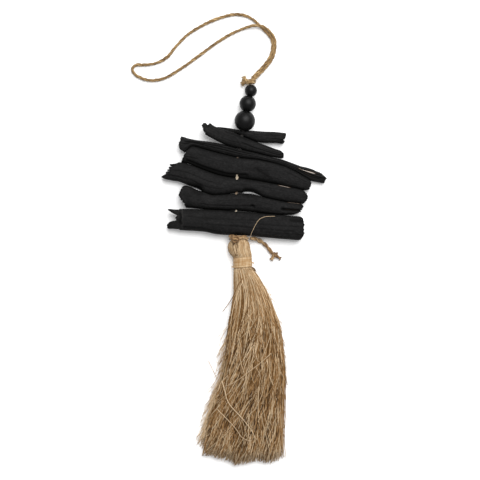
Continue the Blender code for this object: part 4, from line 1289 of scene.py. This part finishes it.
# Dark fibres laid as painted shade in the creases that run down the head from the tie's knot.
CREASES = (
    ((-11.6, 28.4, 12), (-11.8, 24, 13.2), (-10.6, 19, 13.5), (-8.8, 14, 13)),
    ((-9.8, 27, 12.8), (-9, 22.5, 14.1), (-7.9, 17.5, 14), (-7.4, 14.5, 13.2)),
)

HEAD_SIDES = 140
HEAD_FIBRES = 300


def head_core(pile):
    """The bundle's folded core."""
    stations = np.concatenate((np.linspace(33, 28, 8), np.linspace(27.2, 0.5, 30)))
    shape = np.array([outline(y, head_grow(y) - 0.35, HEAD_SIDES) for y in stations])
    middle = shape.mean(axis=1, keepdims=True)
    share = np.arange(HEAD_SIDES) / HEAD_SIDES
    folds = rough_noise(share * 22, stations[:, None] / 40, seed=51, octaves=2)
    shape = middle + (shape - middle) * (1 - 0.03 * (folds[..., None] + 0.4) * np.array((1, 0, 1)))
    pile.tube(shape, 0.74 + 0.12 * folds, flip=True)


def head():
    """The folded bundle above the binding: a core and the fibres that lie side by side over it."""
    pile = Pile()
    head_core(pile)
    draw = np.random.default_rng(52)
    around = 400
    start = draw.uniform(0, 1, HEAD_FIBRES)
    drift = draw.normal(0, 0.012, HEAD_FIBRES)
    rows = []
    for step in np.linspace(0, 1, 16):
        height = 33.4 - 32.6 * step
        ring = outline(height, head_grow(height), around)
        wander = start + drift * step + 0.004 * noise(start * 40, step * 4, seed=53)
        at = (wander % 1) * around
        index = np.floor(at).astype(int)
        blend = (at - index)[:, None]
        rows.append(ring[index % around] * (1 - blend) + ring[(index + 1) % around] * blend)
    paths = np.stack(rows, axis=1)
    depth = draw.uniform(-0.6, -0.15, HEAD_FIBRES)[:, None, None]
    paths = paths + normed(paths - paths.mean(axis=0, keepdims=True)) * depth
    size = draw.uniform(0.28, 0.5, HEAD_FIBRES)
    shade = np.clip(0.76 + 0.06 * draw.normal(0, 1, HEAD_FIBRES), 0.55, 0.9)
    fibres(pile, paths, size, shade, sides=4, flat=0.6)
    # Painted shade: dark fibres along the head's creases.
    for points in CREASES:
        fibres(pile, smooth_route(points, 1)[None], [0.24], [0.26], sides=5)
    return pile.build("head_fibres", RAFFIA)


def head_grow(y):
    """How much fuller the head is than its solid: it swells into the tie."""
    swells = ((0, -0.1), (11.5, 0.1), (14, 0.9), (19, 0.2), (26, 0.1), (29, 0.4), (31, 1.2), (33.4, 0.4))
    return float(at_place(swells, y))


def outline(y, grow, count):
    """Evenly spaced points round the tassel's section at one height."""
    turns = np.linspace(0, 1, 25)
    rim = [(a, 0) for a in turns[:-1]]
    rim += [(1, b) for b in np.linspace(0, 1, 7)[:-1]]
    rim += [(1 - (1 - math.cos(math.pi * a)) / 2, 1) for a in turns[:-1]]
    rim += [(0, 1 - b) for b in np.linspace(0, 1, 7)]
    across, up = np.array(rim).T
    points = place(across, up, np.full(len(rim), float(y)), grow)
    run = run_of(points)
    stops = np.linspace(0, run[-1], count, endpoint=False)
    even = np.column_stack([np.interp(stops, run, points[:, k]) for k in range(3)])
    reach = max(1, count // 40)
    weights = np.ones(2 * reach + 1) / (2 * reach + 1)
    wrapped = np.vstack((even[-reach:], even, even[:reach]))
    return np.column_stack([np.convolve(wrapped[:, k], weights, "valid") for k in range(3)])


# The binding's turns and how many steps a turn has, its first and last height, and the levels at
# which the neck's outline is taken. Then its dark thread and its loose ends, with the way they face.
WRAPS = 6
WRAP_STEPS = 90
WRAP_HEIGHTS = (12.2, 3.4)
NECK_TOP = 13.2
NECK_LONG = 11.2
NECK_LEVELS = 40
NECK_SIDES = 360
DARK_THREAD = ((6.4, 3.4, 9.6), (8.4, 2.4, 9.4), (10, 0.4, 8.4), (11.2, -2, 7.2))
LOOSE_WRAPS = (
    (((5.6, 8, 9.5), (7.4, 7.6, 9.8), (8.8, 7, 9.6)), (0.4, 0, 1)),
    (((-9.6, 4.4, 8), (-11.2, 3.7, 7.6), (-12.9, 3.4, 6.8)), (-0.4, 0, 1)),
    (((7, 3.2, 7), (9, 0.6, 6.6), (9.9, -3.4, 6)), (0.8, 0, 0.6)),
)


def wrap_path():
    """The binding's path round the neck, a little askew, and the way out from the neck along it."""
    heights = [NECK_TOP - NECK_LONG * k / NECK_LEVELS for k in range(NECK_LEVELS + 1)]
    stack = np.array([outline(height, 0.75, NECK_SIDES) for height in heights])
    first, last = WRAP_HEIGHTS
    steps = WRAPS * WRAP_STEPS
    path, out = [], []
    for i in range(steps + 1):
        turn = i / WRAP_STEPS + 0.28
        y = first + (last - first) * i / steps + 0.9 * math.sin(2 * math.pi * (turn - 0.12)) * 0.55
        index = int((turn % 1) * NECK_SIDES) % NECK_SIDES
        level = np.clip((NECK_TOP - y) / NECK_LONG * NECK_LEVELS, 0, NECK_LEVELS - 0.001)
        row = int(level)
        point = stack[row, index] * (1 - level + row) + stack[row + 1, index] * (level - row)
        away = point - stack[row].mean(axis=0)
        away[1] = 0
        path.append((point[0], y, point[2]))
        out.append(away / np.linalg.norm(away))
    return softened(np.array(path), 2), np.array(out)


def binding():
    """Flat raffia wound round the neck, with a dark thread and loose ends over it."""
    pile = Pile()
    ribbon(pile, *wrap_path(), 2.15, 0.42, seed=61)
    dark = smooth_route(DARK_THREAD, 0.6)
    fibres(pile, dark[None], 0.6 * np.sin(np.linspace(0.5, 2.9, len(dark)))[None], [0.16], sides=6)
    for points, facing in LOOSE_WRAPS:
        end = smooth_route(points, 0.4)
        away = np.broadcast_to(np.array(facing) / np.linalg.norm(facing), end.shape)
        ribbon(pile, end, away, 1.3, 0.35, seed=62)
    return pile.build("neck_wraps", RAFFIA)


def ribbon(pile, path, out, width, thick, seed):
    """A flat fibre band along a path: its face looks along out, and fine ridges run along it."""
    along = tangents(path)
    across = normed(np.cross(along, out))
    lift = np.cross(across, along)
    spots = np.arange(22)
    turns = 2 * np.pi * spots / 22
    run = run_of(path)
    flat = np.sign(np.cos(turns)) * np.abs(np.cos(turns)) ** 0.75
    high = np.sign(np.sin(turns)) * np.abs(np.sin(turns)) ** 0.6
    ridges = 1 + 0.5 * noise(spots * 0.9, run[:, None] / 18, seed=seed)
    narrow = 1 + 0.16 * noise(run / 6, seed=seed + 1)
    points = path[:, None] + across[:, None] * (flat[:, None] * width / 2 * narrow[:, None, None])
    points = points + lift[:, None] * (high * ridges * thick / 2)[..., None]
    pile.tube(points, 0.7 + 0.2 * noise(spots * 1.3, run[:, None] / 14, seed=seed + 2))


# The tie's knot: points of each strand, thickness, pitch, seed, shade and how far it frays. Then
# the lump beside it.
TIE_STRANDS = (
    (((-12.6, 31.6, 12), (-12.2, 29.2, 14), (-9.8, 27.6, 15.2), (-6.8, 28.6, 15.6), (-6.2, 31.2, 15),
      (-8.6, 33, 14.6), (-11.2, 32.4, 14.6), (-11.8, 30, 14.8)), 1.7, 8, 72, 0.42, 0),
    (((-11.4, 31, 14.2), (-9.6, 30.6, 15.6), (-7.6, 30, 15.2), (-5.4, 29.8, 13.6)), 2.3, 8, 73, 0.66, 0),
    (((-10.6, 28.4, 14.6), (-11.2, 26.4, 14), (-11, 24.6, 13.6)), 0.8, 5, 74, 0.4, 1.5),
    (((-8.2, 28.2, 15), (-7.6, 25.6, 14.6), (-6.8, 22, 14.3)), 0.8, 5, 75, 0.4, 1.5),
)
TIE_LUMP = ((-15.4, 32.4, 8.6), (-14.6, 34, 9.6), (-12.6, 34.4, 10.4), (-10.8, 33.6, 11), (-9.8, 32.2, 11.8))


def head_tie():
    """Two turns of brown twine round the top of the head, and their knot in front."""
    pile = Pile()
    wave = 0.3 * np.sin(np.linspace(0.6, 0.6 + 4 * np.pi, 120))
    turns = coil((-5.8, 7.7), 8.3, 6.1, np.linspace(32.7, 30.3, 120) + wave, 0.6, 0.6 + 4 * np.pi)
    ring = strand(pile, turns, TIE_TWINE, 12, 71, 0.66, spacing=0.5)
    strand(pile, TIE_LUMP, 2, 9, 79, 0.6, spacing=0.5)
    for points, thick, pitch, seed, shade, fray in TIE_STRANDS:
        strand(pile, points, thick, pitch, seed, shade, fray=fray)
    fuzz(pile, ring, TIE_TWINE, 420, 3, seed=76)
    return pile.build("tie_wraps", BROWN_JUTE)


# A single fibre that escapes the tie and lies over the lowest stick.
CROSSING = (
    (-1, 31.6, 12.6), (4.3, 32.3, 13.4), (6.6, 37.2, 16.2), (10.1, 44.1, 17.6), (13.7, 49.4, 17.4),
    (18.3, 51.7, 16.2), (23.4, 52.4, 15.2), (28.9, 52.5, 14.6),
)


def crossing_fibre():
    """The fibre over the lowest stick, from the head at one end to that stick at the other."""
    pile = Pile()
    path = smooth_route(CROSSING, 1.2)
    fibres(pile, path[None], [0.15], [1.2], sides=6)
    piece = pile.build("crossing_fibre", RAFFIA)
    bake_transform(piece)


# ---------------------------------------------------------------- stage

def stage():
    """A white floor, an even white sky and a soft lamp from the upper right."""
    mesh = bpy.data.meshes.new("floor")
    half, depth = 6, -0.0004
    mesh.from_pydata([(x, y, depth) for x, y in ((-half, -half), (half, -half), (half, half), (-half, half))],
                     [], [(0, 1, 2, 3)])
    floor = placed("floor", mesh)
    made, tree, shader = new_material("floor")
    mottle = blurred(tree, (1, 1, 1), 0.02, 2)
    fill(tree, shader, {
        "Base Color": ramp(tree, mottle, ((0, (0.93, 0.93, 0.93)), (1, (0.95, 0.95, 0.95)))),
        "Roughness": 0.9,
        "Specular IOR Level": 0.1,
        "Emission Color": (1, 1, 1, 1),
        "Emission Strength": 0.12,
    })
    mesh.materials.append(made)
    world = bpy.data.worlds.new("sky")
    world.use_nodes = True
    sky = world.node_tree
    fill(sky, sky.nodes["Background"].inputs, {"Color": (1, 1, 1, 1), "Strength": 0.42})
    bpy.context.scene.world = world
    bpy.context.scene.view_settings.view_transform = "Standard"
    key_lamp((0.5, 1.15, 2.1), 2.2, 82)


def key_lamp(at, size, power):
    """A round lamp that looks at the middle of the picture."""
    data = bpy.data.lights.new("key", "AREA")
    data.shape = "DISK"
    data.size = size
    data.energy = power
    made = placed("key", data)
    made.location = at
    aim = Vector((VIEW_MIDDLE[0] * MM, VIEW_MIDDLE[1] * MM, 0)) - made.location
    made.rotation_mode = "QUATERNION"
    made.rotation_quaternion = aim.to_track_quat("-Z", "Y")


def layer_nodes(layer):
    """The solid that a layer of the skirt stands for: the front one takes the tassel's."""
    return ("tassel",) if layer is LAYERS[0] else ()


def main():
    """Everything in the scene, the camera and the cords first."""
    place_camera()
    hanging_loop()
    top_knot()
    tie_tail()
    threaded_cord()
    for name, (diameter, hole) in BEADS.items():
        bead(name, diameter, hole)
    for number in range(1, 8):
        stick(f"stick_{number}", seed=200 + 17 * number)
    for layer in LAYERS:
        finish_piece(skirt_layer(layer), HANGER, "raffia", *layer_nodes(layer))
    finish_piece(strays(), HANGER, "raffia")
    finish_piece(head(), HANGER, "raffia")
    finish_piece(binding(), HANGER, "raffia", "neck_binding")
    finish_piece(head_tie(), HANGER, "twine", "head_tie")
    crossing_fibre()
    stage()


main()
